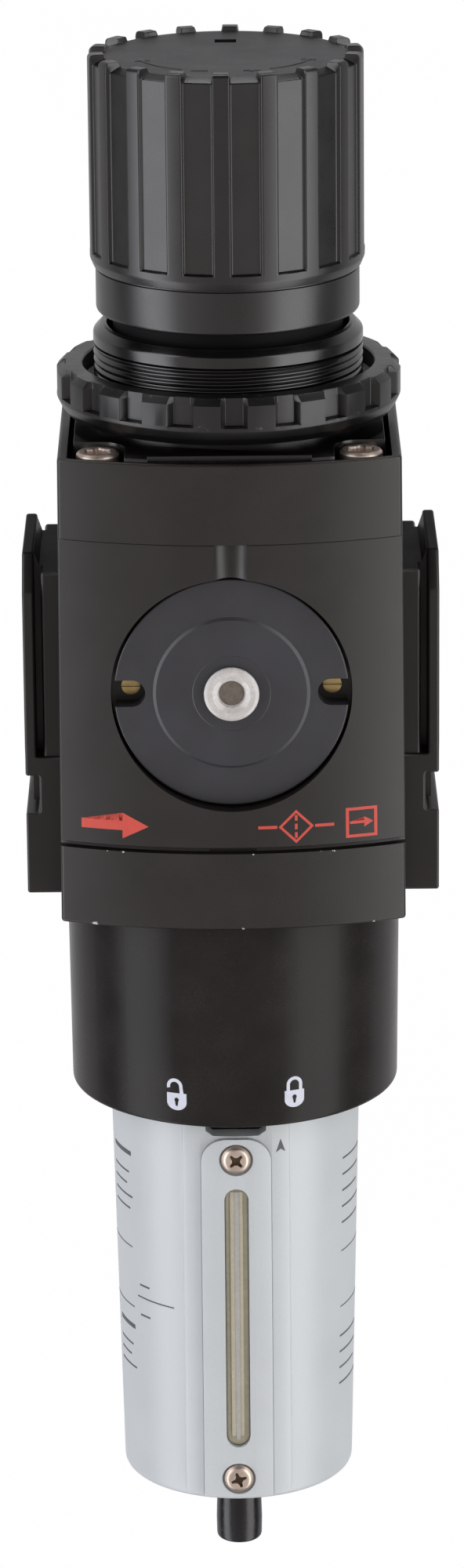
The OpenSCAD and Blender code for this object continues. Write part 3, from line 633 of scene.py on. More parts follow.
def face_plate(name, node, mirror):
    outline = face_arc(HALF_WIDTH) + face_arc(HALF_WIDTH, PLATE_DEPTH)[::-1]
    obj = bevel(add_draft(prism(name, outline, PLATE_LOW.z, PLATE_HIGH.z, PLATE)), 0.35, 3)
    combine(obj, prism("hole", circle(COVER_HOLE, count=160), 30, 43, PLATE, "Y"))
    combine(obj, prism("channel", circle(4.4, (0, -HALF_DEPTH - 2.4), 64), COVER_HOLE - 4, 43, PLATE))
    bevel(obj, 0.3, 3, 55)
    if mirror:
        obj.data.transform(Matrix.Diagonal((1, -1, 1, 1)))
        obj.data.flip_normals()
    return place(even_shading(obj), "housing", "cast_black", node)


add_spots(CAST, [(x, -face_y(x), z, radius) for x, z, radius in (
    (-31.0, -54.4, 0.62), (2.0, -54.5, 0.26), (31.5, -54.4, 0.30), (19.6, -36.7, 0.30), (22.6, -36.7, 0.22),
    (-28.0, -36.7, 0.20), (-24.5, -36.7, 0.28), (4.5, -36.7, 0.16))], (0.42, 0.41, 0.40))
body_casting()
port_threads()
face_plate("front_plate", "front_face_plate", False)
face_plate("rear_plate", "rear_face_plate", True)


# ---------------------------------------------------------------- gauge covers, plugs and brass screws

COVER_RADIUS = 26.0
COVER_FACE = -box_mm("front_gauge_cover")[0].y


def gauge_cover(name, node, mirror):
    profile = fillet([
        (5.7, 34.2, 0), (25.9, 34.2, 0.3), (COVER_RADIUS, COVER_FACE - 0.55, 0.45), (17.4, COVER_FACE - 0.55, 0.25),
        (16.7, COVER_FACE, 0.3), (8.7, COVER_FACE, 0.12), (8.5, COVER_FACE - 0.12, 0.12), (5.7, COVER_FACE - 0.12, 0)], 4)
    obj = facing(profile, name, COVER, count=160)
    for side in (-1, 1):
        notch = [(side * 40, -3.05), (side * 40, 3.05)]
        notch += [(side * (22.1 - 3.05 * math.sin(a)), 3.05 * math.cos(a)) for a in
                  [math.pi * k / 20 for k in range(21)]]
        combine(obj, prism("notch", notch, 33, 42, COVER, "Y"))
    bevel(obj, 0.28, 3, 40)
    if mirror:
        obj.data.transform(Matrix.Diagonal((1, -1, 1, 1)))
        obj.data.flip_normals()
    return place(obj, "housing", "cover_grey", node)


def port_plug(name, node, mirror):
    """The translucent plug: a pale ring round a darker dished middle."""
    low, high = box_mm("front_port_plug")
    front = -low.y
    profile = fillet([
        (0, 27.2, 0), (5.6, 27.2, 0.5), (5.6, COVER_FACE, 0.1), (6.1, COVER_FACE + 0.05, 0.15),
        (6.15, front - 0.5, 0.5), (5.2, front, 0.6), (4.2, front - 0.15, 0.5), (3.1, front - 0.9, 0.35),
        (2.9, front - 1.6, 0.2), (0, front - 1.7, 0)], 5)
    ring = facing(profile, name, PLUG, count=96, closed=False)
    core = facing(fillet([(0, front - 1.9, 0), (2.75, front - 1.9, 0.1), (2.8, front - 1.45, 0.2),
                          (1.6, front - 1.55, 0.8), (0, front - 1.62, 0)], 5), name + "_core", PLUG_CORE, count=64,
                  closed=False)
    for obj in (ring, core):
        if mirror:
            obj.data.transform(Matrix.Diagonal((1, -1, 1, 1)))
            obj.data.flip_normals()
    place(core, "housing", "plug_white")
    return place(ring, "housing", "plug_white", node)


for mark, flip in (("front", False), ("rear", True)):
    gauge_cover(mark + "_cover", mark + "_gauge_cover", flip)
    port_plug(mark + "_plug", mark + "_port_plug", flip)

brass = bevel(cad_copy("gauge_cover_screws", "cover_screws", BRASS), 0.15, 2)
place(brass, "housing", "brass", "gauge_cover_screws")


# ---------------------------------------------------------------- bonnet, neck thread and corner screws

NECK_RADIUS = 30.15
NECK_TOP = 74.8
THREAD_TOP = 70.7
THREAD_LOW = 54.6
PITCH = 25.4 / 16
THREAD_DEPTH = 0.62
BONNET_TOP = 53.3            # top face of the bonnet's square flange
SCREW_XY = 29.0
TOWER_TOP = 97.0
LOCK_TEETH = 12


def wedges(middle_deg, half_deg, inner, outer, low, high, count, material):
    """Blocks of a ring, evenly spaced, as one object."""
    parts = []
    for i in range(count):
        outline = []
        for radius, side in ((inner, 1), (outer, -1)):
            outline += [turn(radius, math.radians(middle_deg + 360 * i / count + side * k * half_deg), 0)[:2]
                        for k in (-1, 0, 1)]
        parts.append(prism("wedge", outline, low, high, material))
    return parts


def bonnet():
    """Square flange with open corner pockets, and the threaded neck with the tower that carries the knob."""
    obj = prism("bonnet_shell", plan(3.8, 1.5), BONNET_SEAT, BONNET_TOP, NECK)
    far, floor, reach = 45.0, 47.5, 6.0
    for sx in (-1, 1):
        for sy in (-1, 1):
            x, y = sx * SCREW_XY, sy * SCREW_XY
            outer_x, outer_y, inner_x, inner_y = sx * far, sy * far, x - sx * reach, y - sy * reach
            corner = [(x - sx * reach * math.sin(t), y - sy * reach * math.cos(t))
                      for t in [math.pi / 2 * k / 10 for k in range(11)]]
            outline = [(outer_x, inner_y)] + corner + [(inner_x, outer_y), (outer_x, outer_y)]
            combine(obj, prism("pocket", outline, floor, floor + 10, NECK))
    for face in (-1, 1):
        low, high = sorted((face * 36.5, face * 45.0))
        combine(obj, block("recess", (-18, low, BONNET_TOP - 3), (18, high, BONNET_TOP + 2), NECK))
    bevel(obj, 0.4, 3)
    inner = NECK_RADIUS - 1.0
    neck = revolve("neck", fillet([
        (0, BONNET_TOP - 1, 0), (NECK_RADIUS, BONNET_TOP - 1, 0), (NECK_RADIUS, THREAD_LOW, 0), (inner, THREAD_LOW, 0),
        (inner, THREAD_TOP, 0), (NECK_RADIUS - 0.5, THREAD_TOP, 0.1), (NECK_RADIUS, THREAD_TOP + 0.5, 0.2),
        (NECK_RADIUS, NECK_TOP - 1.3, 1.2), (28.4, NECK_TOP + 0.5, 1.0), (26.9, NECK_TOP + 0.5, 0.5),
        (26.9, NECK_TOP - 2.7, 0.2), (25.7, NECK_TOP - 2.7, 0),
        (25.7, 80.8, 0.2), (24.5, 80.8, 0), (24.5, TOWER_TOP, 0.5), (0, TOWER_TOP, 0)], 4), NECK, even(192), 35, False)
    combine(obj, neck, "UNION")
    combine(obj, revolve("bore", [(0, 39), (25, 39), (25, 45), (19, 45), (19, 92.5), (6.05, 92.5), (6.05, 99), (0, 99)],
                         NECK, even(96), closed=False))
    combine(obj, block("keyway", (-21.2, -2.6, 39), (21.2, 2.6, 92.5), NECK))
    combine(obj, joined("notches", wedges(90, 4.2, 24.3, 29.9, 78.4, 81.5, LOCK_TEETH, NECK)))
    smooth(obj, 38)
    # Painted shade: the tower and the inside of the neck's rim, seen through the gap under the knob, take the shade
    # paint.
    obj.data.materials.append(SHADE_PAINT)
    for face in obj.data.polygons:
        if face.center.xy.length < 27.2 * MM and face.center.z > 60 * MM:
            face.material_index = 1
    return place(obj, "housing", "cast_black", "bonnet")


def neck_thread():
    """The neck's external thread as one helical surface, faded out at both ends."""
    count, per_turn = 192, 10
    rows = round((THREAD_TOP - THREAD_LOW) / PITCH * per_turn)
    points = []
    for azimuth in even(count):
        phase = azimuth / TAU
        for j in range(rows + 1):
            z = THREAD_LOW + (THREAD_TOP - THREAD_LOW) * j / rows
            turn_part = (z / PITCH - phase) % 1
            tooth = min(1.0, max(0.0, (abs(turn_part - 0.5) * 2 - 0.14) / 0.72))
            fade = min(1.0, (THREAD_TOP - z) / 0.8, (z - THREAD_LOW) / 0.8)
            points.append(turn(NECK_RADIUS - 0.02 - THREAD_DEPTH * tooth * fade, azimuth, z))
        points.append(turn(NECK_RADIUS - 1.2, azimuth, THREAD_TOP))
        points.append(turn(NECK_RADIUS - 1.2, azimuth, THREAD_LOW))
    obj = build("neck_thread", points, wrap_faces(count, rows + 3, True), NECK, 60)
    return place(obj, "housing", "cast_black")


def bonnet_screws():
    """Socket head cap screws in the four corners."""
    low, high = box_mm("bonnet_screws")
    top = high.z
    profile = fillet([
        (0, low.z, 0), (2.55, low.z, 0.3), (2.55, top - 5.2, 0.1), (4.7, top - 5.2, 0.2), (4.76, top - 0.6, 0.6),
        (4.2, top, 0.3), (2.95, top, 0.15), (2.6, top - 0.4, 0.1), (2.6, top - 2.6, 0.2), (0, top - 3.2, 0)], 4)
    parts = []
    for sx in (-1, 1):
        for sy in (-1, 1):
            lobes = 6

            def star(azimuth, index, radius, z):
                inside = z > top - 3.3 and radius < 3.2 and z < top + 0.1 and radius > 0
                if inside and index > len(profile) * 0.6:
                    return radius * (1 + 0.10 * math.cos(lobes * azimuth)), z
                return radius, z
            part = revolve("screw", profile, NICKEL, even(72), closed=False, reshape=star)
            part.data.transform(Matrix.Translation((sx * SCREW_XY * MM, sy * SCREW_XY * MM, 0)))
            parts.append(part)
    obj = joined("corner_screws", parts)
    smooth(obj)
    return place(obj, "housing", "nickel", "bonnet_screws")


bonnet()
neck_thread()
bonnet_screws()


# ---------------------------------------------------------------- panel nut

def pitch_angles(count, first_deg, offsets_deg):
    """Azimuths for count repeats of a pattern of offsets, in rising order."""
    step = 360 / count
    return [math.radians(first_deg + i * step + o) for i in range(count) for o in offsets_deg]


def falloff(value, inner, outer):
    """1 inside inner, 0 beyond outer, smooth between."""
    t = min(1.0, max(0.0, (abs(value) - inner) / (outer - inner)))
    return 1 - t * t * (3 - 2 * t)


def off_centre(azimuth, count, first_deg):
    """Degrees from the nearest repeat's centre."""
    step = 360 / count
    return (math.degrees(azimuth) - first_deg + step / 2) % step - step / 2


NUT_NOTCHES = 20
NUT_FIRST = 1.8


def panel_nut():
    low, high = box_mm("panel_nut")
    outer = high.x
    tooth = fillet([
        (30.2, low.z, 0), (36.3, low.z, 0.4), (37.6, low.z + 1.6, 1.2), (outer, low.z + 3.5, 0.8),
        (outer, low.z + 4.2, 0.05), (outer, low.z + 4.35, 0.05), (outer, high.z - 1.5, 0.2), (outer - 1.5, high.z, 0.25),
        (32.9, high.z, 0.3), (32.6, high.z - 0.4, 0.1), (32.6, 62.2, 0.3), (30.4, 61.2, 0.3), (30.2, 60.4, 0)], 4)
    notch = fillet([
        (30.2, low.z, 0), (36.3, low.z, 0.4), (37.6, low.z + 1.6, 1.2), (outer, low.z + 3.5, 0.8),
        (outer - 0.1, low.z + 4.3, 0.2), (outer - 1.9, low.z + 4.5, 0.2), (outer - 1.9, high.z - 1.5, 0.2),
        (outer - 2.1, high.z, 0.25),
        (32.9, high.z, 0.3), (32.6, high.z - 0.4, 0.1), (32.6, 62.2, 0.3), (30.4, 61.2, 0.3), (30.2, 60.4, 0)], 4)
    offsets = [0, 1.5, 2.7, 2.95, 3.1, 3.3, 3.7, 4.1, 4.35, 4.5, 4.7, 5.4, 6.8, 8.2]
    spread = [-o for o in reversed(offsets[1:])] + offsets + [9.0]
    angles = pitch_angles(NUT_NOTCHES, NUT_FIRST, spread)

    def shape(azimuth, index, radius, z):
        weight = 1 - min(1.0, max(0.0, (abs(off_centre(azimuth, NUT_NOTCHES, NUT_FIRST)) - 3.05) / 1.4))
        a, b = tooth[index], notch[index]
        return a[0] + (b[0] - a[0]) * weight, a[1] + (b[1] - a[1]) * weight
    obj = revolve("nut_ring", tooth, NUT, angles, 28, True, shape)
    return place(obj, "panel_nut", "moulded_black", "panel_nut")


panel_nut()


# ---------------------------------------------------------------- knob

FLUTES = 18
FLUTE_FIRST = 7.9
SKIRT_TOP = 88.1             # a fine line above this parts the skirt from the fluted grip
FLUTE_LOW = 92.0
HUB_LOW = 102.1              # bottom of the knob's hub, clear of the adjusting screw's head when pushed down


def knob():
    low, high = box_mm("knob")
    top, outer = high.z, high.x
    skirt = 29.4
    line = SKIRT_TOP
    shared_low = [(26.4, low.z + 0.1, 0), (skirt - 2.0, low.z, 0.8), (skirt, low.z + 0.3, 1.5), (skirt, line - 0.2, 0.1),
                  (skirt - 0.3, line, 0.05), (skirt - 0.3, line + 0.3, 0.05), (skirt + 0.4, line + 0.4, 0.2),
                  (outer, line + 2.3, 1.6)]
    shared_in = [(24.0, top - 1.15, 0.8), (12.0, top - 1.45, 1.0), (0, top - 1.5, 0)]
    rib = fillet(shared_low + [(outer, FLUTE_LOW - 0.3, 0.05), (outer, FLUTE_LOW + 0.4, 0.05), (outer, top, 1.3),
                               (27.1, top, 0.35), (26.8, top - 1.0, 0.15)] + shared_in, 5)
    flute = fillet(shared_low + [(outer, FLUTE_LOW - 0.2, 0.15), (outer - 1.0, FLUTE_LOW + 0.2, 0.15),
                                 (outer - 1.0, top - 2.1, 0.7), (27.1, top - 1.02, 0.1), (26.8, top - 1.05, 0.1)]
                   + shared_in, 5)
    offsets = [0, 2.0, 4.2, 5.4, 5.85, 6.05, 6.2, 6.35, 6.5, 6.65, 6.85, 7.4, 8.6]
    spread = [-o for o in reversed(offsets[1:])] + offsets + [10.0]
    angles = pitch_angles(FLUTES, FLUTE_FIRST, spread)

    def shape(azimuth, index, radius, z):
        away = off_centre(azimuth, FLUTES, FLUTE_FIRST)
        weight = falloff(away, 5.9, 6.8)
        a, b = rib[index], flute[index]
        flat = 1 / math.cos(math.radians(away)) if 8.8e1 < b[1] and b[0] > 28 else 1.0
        radius_b = min(b[0] * flat, a[0]) if weight > 0 else a[0]
        return a[0] + (radius_b - a[0]) * weight, a[1] + (b[1] - a[1]) * weight
    outside = revolve("knob_shell", rib, KNOB, angles, 35, False, shape)
    inside = revolve("knob_inside", fillet([
        (26.4, low.z + 0.1, 0), (26.4, 131.0, 0.6), (9.5, 131.0, 0.4), (9.5, HUB_LOW, 0.3), (6.2, HUB_LOW, 0.3),
        (6.2, 127.5, 0.2), (0, 127.5, 0)], 3), KNOB, angles, 35, False)
    obj = joined("knob_shell", [outside, inside])
    bm = bmesh.new()
    bm.from_mesh(obj.data)
    bmesh.ops.remove_doubles(bm, verts=bm.verts, dist=1e-6)
    bmesh.ops.recalc_face_normals(bm, faces=bm.faces)
    bm.to_mesh(obj.data)
    bm.free()
    combine(obj, block("slot", (-2.4, 14.9, top - 3.2), (2.4, 18.3, top + 2), KNOB))
    smooth(obj, 35)
    obj.data.materials.append(KNOB_TOP)
    for face in obj.data.polygons:
        if face.normal.z > 0.9 and face.center.xy.length < 26.8 * MM and face.center.z > (top - 2) * MM:
            face.material_index = 1
    return place(obj, "knob", "moulded_black", "knob")


def knob_teeth():
    """The inner teeth that drop into the bonnet's notches."""
    parts = [bevel(part, 0.3, 2) for part in wedges(90, 3.0, 24.9, 26.6, 81.3, 86.0, LOCK_TEETH, KNOB)]
    return place(joined("knob_teeth", parts), "knob", "moulded_black")


def raised_strip(name, path, width, low, high, material):
    """A flat raised line along a list of (x, y) points, with square ends."""
    left, right = [], []
    for i, here in enumerate(path):
        before, after = path[max(0, i - 1)], path[min(len(path) - 1, i + 1)]
        along = (Vector(after) - Vector(before)).normalized()
        side = Vector((-along.y, along.x)) * width / 2
        left.append(tuple(Vector(here) + side))
        right.append(tuple(Vector(here) - side))
    return prism(name, left + right[::-1], low, high, material)


def knob_marks():
    """Raised turn arrows, a plus and a minus round the front of the knob's top."""
    top = box_mm("knob")[1].z
    low, high = top - 1.9, top - 1.12
    radius = 19.5
    parts = []
    for side in (-1, 1):
        arc = [turn(radius, math.radians(side * (30 + 40 * k / 12)), 0)[:2] for k in range(13)]
        parts.append(raised_strip("arc", arc, 0.7, low, high, KNOB_TOP))
        tip, base = math.radians(side * 79), math.radians(side * 69)
        head = [turn(radius, tip, 0)[:2], turn(radius + 1.9, base, 0)[:2], turn(radius - 1.9, base, 0)[:2]]
        parts.append(prism("head", head, low, high, KNOB_TOP))
        centre = Vector(turn(radius, math.radians(side * 17), 0)[:2])
        parts.append(raised_strip("bar", [tuple(centre + Vector((-1.9, 0))), tuple(centre + Vector((1.9, 0)))],
                                  0.7, low, high, KNOB_TOP))
        if side > 0:
            parts.append(raised_strip("bar", [tuple(centre + Vector((0, -1.9))), tuple(centre + Vector((0, 1.9)))],
                                      0.7, low, high - 0.004, KNOB_TOP))
    for part in parts:
        bevel(part, 0.12, 2)
    return place(joined("knob_marks", parts), "knob", "moulded_black")


knob()
knob_teeth()
knob_marks()


# ---------------------------------------------------------------- collar

LUGS = 3
BAYONET_TURN = 43.5
COLLAR_TOP, COLLAR_BOTTOM = -54.5, -103.4
COLLAR_R_TOP, COLLAR_R_BOTTOM = 38.05, 37.55


def collar_radius(z):
    t = (z - COLLAR_TOP) / (COLLAR_BOTTOM - COLLAR_TOP)
    return COLLAR_R_TOP + (COLLAR_R_BOTTOM - COLLAR_R_TOP) * t


def collar():
    profile = fillet([
        (29.0, -58, 0), (29.0, -50, 0.3), (33.0, -50, 0.3), (33.0, COLLAR_TOP, 0.1), (COLLAR_R_TOP, COLLAR_TOP, 0.3),
        (COLLAR_R_BOTTOM, COLLAR_BOTTOM, 1.1), (34.2, COLLAR_BOTTOM, 0.6), (33.8, -86, 0.2), (29.8, -86, 0.3),
        (29.8, -80, 0.3), (33.8, -80, 0.2), (33.8, -58, 0.3), (29.0, -58, 0)], 6)
    edges = [-lug for lug in (17.4, 17.2, 17.0, 16.8)] + [-8, 0, 8] + [16.8, 17.0, 17.2, 17.4]
    spread = edges + [24 + 9 * k for k in range(9)]
    first = 90 - BAYONET_TURN
    angles = pitch_angles(LUGS, first, spread)
    fine = sorted(a % TAU for a in angles + even(168, 0.003))

    def window(azimuth, index, radius, z):
        away = off_centre(azimuth, LUGS, first)
        if radius < 33.7 and -86.1 < z < -79.9:
            return radius + (33.8 - radius) * falloff(away, 16.9, 17.3), z
        return radius, z
    obj = revolve("collar_shell", profile[:-1], COLLAR, fine, 35, True, window)
    return place(obj, "housing", "cast_black", "collar")


def collar_stops():
    """Small blocks at both ends of the bowl's turn, inside the collar."""
    parts = []
    for i in range(LUGS):
        for start in (16.5, -66.0):
            outline = []
            for radius, angles in ((30.0, (0, 2.5, 5)), (34.4, (5, 2.5, 0))):
                outline += [turn(radius, math.radians(90 + 120 * i + start + a), 0)[:2] for a in angles]
            parts.append(bevel(prism("stop", outline, -80.3, -74.0, COLLAR), 0.3, 2))
    return place(joined("collar_stops", parts), "housing", "cast_black")


collar()
collar_stops()


# ---------------------------------------------------------------- bowl

BOWL_LOW, BOWL_HIGH = box_mm("bowl")
BOWL_R_TOP, BOWL_R_BOTTOM = 28.8, 26.75
PAD_HALF_WIDTH = 12.3
PAD_RADIUS = 30.4
PAD_BOTTOM = -197.4
COVER_HALF = 8.0
SIGHT_FLAT = 29.2            # distance in front of the axis of the flat that the sight cover lies on
SEAT = 30.2                  # bottom of the counterbores under the two screw heads


def bowl():
    bottom, top = BOWL_LOW.z, BOWL_HIGH.z
    profile = fillet([
        (5.0, bottom, 0), (BOWL_R_BOTTOM, bottom, 1.6), (BOWL_R_TOP, -103.0, 1.0), (28.4, -101.2, 0.5),
        (28.4, -52.2, 0.1), (26.7, -52.2, 0.1), (26.7, -49.4, 0.1), (28.4, -49.4, 0.1), (28.4, top, 1.0),
        (25.2, top, 0.4), (24.4, bottom + 6, 3.0), (21.4, bottom + 3, 1.0), (5.0, bottom + 3, 0)], 5)
    obj = revolve("bowl_shell", profile, BOWL, even(256), 35)
    for i in range(LUGS):
        outline = []
        for radius, angles in ((27.0, (-15, -7.5, 0, 7.5, 15)), (33.4, (15, 7.5, 0, -7.5, -15))):
            outline += [turn(radius, math.radians(90 + 120 * i + a), 0)[:2] for a in angles]
        combine(obj, prism("lug", outline, -80, -74, BOWL), "UNION")
    add_pad(obj)
    low, high = box_mm("sight_cover")
    combine(obj, prism("flat", cover_outline(0.1, low.z - 3, high.z), SIGHT_FLAT, 40, BOWL, "Y"))
    scoop = [(-5.2, high.z + 0.5), (5.2, high.z + 0.5), (6.9, high.z + 1.6), (6.9, -99), (-6.9, -99),
             (-6.9, high.z + 1.6)]
    combine(obj, prism("scoop", scoop, 25.7, 40, BOWL, "Y"))
    combine(obj, prism("pocket", slot_outline(9.4, 2.0), 27.4, 34, BOWL, "Y"))
    bevel(obj, 0.25, 2, 40, 35)
    # Painted shadow: the back wall of the scoop, just under the collar, takes the shade paint.
    obj.data.materials.append(SHADE_PAINT)
    for face in obj.data.polygons:
        if abs(face.center.x) < 7 * MM and -28.2 * MM < face.center.y < -25.4 * MM and face.center.z > high.z * MM:
            face.material_index = 1
    return place(obj, "bowl_set", "bowl_silver", "bowl")


def arc_front(half_width, radius, count=24):
    """Points of a front-facing arc from -x to +x."""
    reach = math.asin(half_width / radius)
    return [turn(radius, -reach + 2 * reach * k / count, 0)[:2] for k in range(count + 1)]


def add_pad(obj):
    """The raised sight pad on the bowl's front, with round lower corners."""
    outline = arc_front(PAD_HALF_WIDTH, PAD_RADIUS) + [(PAD_HALF_WIDTH, -25.0), (-PAD_HALF_WIDTH, -25.0)]
    pad = prism("pad", outline, PAD_BOTTOM, -101.5, BOWL)
    corner = 1.4
    for side in (-1, 1):
        x = side * (PAD_HALF_WIDTH - corner)
        cut = [(side * (PAD_HALF_WIDTH + 1), PAD_BOTTOM - 1), (x, PAD_BOTTOM - 1)]
        cut += [(x + side * corner * math.sin(a), PAD_BOTTOM + corner - corner * math.cos(a))
                for a in [math.pi / 2 * k / 8 for k in range(9)]]
        cut += [(side * (PAD_HALF_WIDTH + 1), PAD_BOTTOM + corner)]
        combine(pad, prism("corner", cut, 20, 40, BOWL, "Y"))
    bevel(pad, 0.6, 4, 30, 40)
    combine(obj, pad, "UNION")
    return obj


SLOT_LOW, SLOT_HIGH = -184.5, -120.5
SLOT_WIDTH = 5.5
SCREW_Z = (-113.5, -192.4)


def slot_outline(width, more, count=16):
    """An upright slot with round ends, as (x, z) points."""
    half = width / 2
    high, low = SLOT_HIGH + more - half, SLOT_LOW - more + half
    arcs = [(half * math.cos(a), high + half * math.sin(a)) for a in [math.pi * k / count for k in range(count + 1)]]
    arcs += [(-half * math.cos(a), low - half * math.sin(a)) for a in [math.pi * k / count for k in range(count + 1)]]
    return arcs


COVER_CORNER = 6.0


def cover_outline(more, low, high):
    """The sight cover from the front, with round upper corners, drawn out by more millimetres."""
    half, top, radius = COVER_HALF + more, high + more, COVER_CORNER + more
    steps = [math.pi / 2 * k / 12 for k in range(13)]
    right = [(half - radius + radius * math.cos(a), top - radius + radius * math.sin(a)) for a in steps]
    return [(-half, low), (half, low)] + right + [(-x, z) for x, z in reversed(right)]


def sight_cover():
    """The plate over the sight glass, curved like the pad, with a slot and two counterbores."""
    low, high = box_mm("sight_cover")
    front = -low.y
    wide = COVER_HALF + 2
    outline = arc_front(wide, front, 40) + [(wide, -SIGHT_FLAT), (-wide, -SIGHT_FLAT)]
    obj = prism("cover", outline, low.z - 2, high.z + 2, BOWL)
    combine(obj, prism("edge", cover_outline(0, low.z, high.z), 20, 40, BOWL, "Y"), "INTERSECT")
    bevel(obj, 0.55, 4, 30, 40)
    combine(obj, prism("slot", slot_outline(SLOT_WIDTH, 0), 20, 40, BOWL, "Y"))
    for z in SCREW_Z:
        combine(obj, prism("seat", circle(3.85, (0, z), 64), SEAT, 40, BOWL, "Y"))
        combine(obj, prism("hole", circle(1.9, (0, z), 32), 20, 40, BOWL, "Y"))
    bevel(obj, 0.28, 3, 50, 40)
    return place(obj, "bowl_set", "bowl_silver", "sight_cover")


def sight_glass():
    """The glass in the slot: an olive body and a grey tube, with a pale strip on each side of the tube as a painted
    highlight.
    """
    lens = prism("lens", slot_outline(9.3, 1.95), 28.25, SIGHT_FLAT, SIGHT, "Y")
    bevel(lens, 0.2, 2)
    window = prism("window", slot_outline(SLOT_WIDTH - 0.04, -0.02), 28.8, 30.35, SIGHT, "Y")
    bevel(window, 0.6, 4)
    obj = joined("sight_lens", [lens, window])
    smooth(obj, 40)
    place(obj, "bowl_set", "sight_olive", "sight_glass")
    # The two pale strips are painted highlights on the glass; the grey middle strip is the tube.
    for name, middle, half, low, face, material in (
            ("sight_highlight_left", -0.98, 0.52, SLOT_LOW + 3.0, 30.62, SIGHT_HIGHLIGHT),
            ("sight_tube", 0.0, 0.50, SLOT_LOW + 2.2, 30.72, SIGHT_CORE),
            ("sight_highlight_right", 0.92, 0.46, SLOT_LOW + 3.0, 30.58, SIGHT_HIGHLIGHT)):
        outline = [(middle + half * math.cos(a), SLOT_HIGH - 1.1 + 0.3 * half * math.sin(a)) for a in half_turn()]
        outline += [(middle - half * math.cos(a), low - half * math.sin(a)) for a in half_turn()]
        rib = bevel(prism(name, outline, 30.0, face, material, "Y"), 0.34, 4)
        place(rib, "bowl_set", "sight_olive")


def half_turn(count=12):
    """Angles from 0 to 180 degrees, in radians."""
    return [math.pi * k / count for k in range(count + 1)]


def sight_screws():
    """Cross-recess pan heads."""
    low, high = box_mm("sight_screws")
    front = -low.y
    seat = SEAT
    heads, recesses = [], []
    for z, spin in zip(SCREW_Z, (45, 20)):
        profile = fillet([(0, 26.8, 0), (1.35, 26.8, 0.2), (1.4, seat, 0.1), (3.4, seat, 0.15), (3.45, seat + 0.8, 0.7),
                          (2.6, front - 0.15, 1.2), (0, front, 0)], 6)
        head = facing(profile, "head", NICKEL, 0, z, 72, closed=False)
        for step in (0, 90):
            angle = math.radians(spin + step)
            along = Vector((math.cos(angle), math.sin(angle)))
            side = Vector((-along.y, along.x))
            outline = [tuple(Vector((0, z)) + along * a + side * b) for a, b in
                       ((-1.85, -0.28), (-1.0, -0.45), (1.0, -0.45), (1.85, -0.28),
                        (1.85, 0.28), (1.0, 0.45), (-1.0, 0.45), (-1.85, 0.28))]
            combine(head, prism("cross", outline, front - 1.3, front + 1, RECESS_SHADE, "Y"))
        combine(head, prism("centre", circle(0.95, (0, z), 24), front - 1.7, front + 1, RECESS_SHADE, "Y"))
        bevel(head, 0.1, 2, 40, 40)
        heads.append(head)
        # Painted shade: a dark disc at the bottom of the recess.
        floor = prism("floor", circle(2.2, (0, z), 32), front - 1.85, front - 1.28, RECESS_SHADE, "Y")
        recesses.append(floor)
    place(joined("window_screws", heads), "bowl_set", "nickel", "sight_screws")
    return place(joined("window_screw_recesses", recesses), "bowl_set", "nickel")


def drain():
    low, high = box_mm("drain_knob")
    radius = high.x
    profile = fillet([
        (0, -209.0, 0), (1.5, -209.2, 0.2), (2.4, -210.5, 0.2), (2.5, low.z + 0.4, 0.3), (3.0, low.z, 0.3),
        (radius - 0.1, low.z, 1.5), (radius, low.z + 5.0, 6.0), (radius - 0.25, high.z - 7.0, 2.0),
        (radius - 0.65, high.z - 4.6, 0.5), (radius - 0.1, high.z - 3.7, 0.5), (radius - 0.2, high.z - 2.0, 0.6),
        (radius - 0.5, high.z - 1.4, 0.3), (radius - 0.1, high.z, 0.3), (0, high.z, 0)], 6)
    obj = revolve("drain_grip", profile, GLOSS, even(96), 35, False)
    return place(obj, "drain_cock", "gloss_black", "drain_knob")


bowl()
sight_cover()
sight_glass()
sight_screws()
drain()


# ---------------------------------------------------------------- printed marks

def wrapped(name, outline, radius_at, azimuth, z, material, proud=0.05, deep=0.25, face_at=None):
    """An outline of (u, v) millimetres laid on a round surface, as a thin closed film cut into narrow strips."""
    strip = 0.7
    bm = bmesh.new()
    face = bm.faces.new([bm.verts.new((u, v, 0)) for u, v in outline])
    bmesh.ops.triangulate(bm, faces=[face])
    low, high = min(u for u, v in outline), max(u for u, v in outline)
    for k in range(1, math.ceil((high - low) / strip)):
        bmesh.ops.bisect_plane(bm, geom=bm.verts[:] + bm.edges[:] + bm.faces[:], dist=1e-5,
                               plane_co=(low + k * strip, 0, 0), plane_no=(1, 0, 0))
    bmesh.ops.triangulate(bm, faces=bm.faces)
    flat = [tuple(v.co) for v in bm.verts]
    bm.verts.index_update()
    faces = [[v.index for v in f.verts] for f in bm.faces]
    rim = [[v.index for v in e.verts] for e in bm.edges if len(e.link_faces) == 1]
    bm.free()
    points = []
    for offset in (proud, -deep):
        for u, v, _ in flat:
            if face_at is None:
                radius = radius_at(z + v) + offset
                points.append(turn(radius, azimuth + u / radius_at(z + v), z + v))
            else:
                x = azimuth + u
                points.append((x * draft(z + v), -(face_at(x) + offset), z + v))
    count = len(flat)
    all_faces = faces + [[i + count for i in reversed(f)] for f in faces]
    all_faces += [(a, b, b + count, a + count) for a, b in rim]
    return build(name, points, all_faces, material, 40)


def bowl_radius(z):
    t = (z + 103.0) / (BOWL_LOW.z + 103.0)
    return BOWL_R_TOP + (BOWL_R_BOTTOM - BOWL_R_TOP) * t


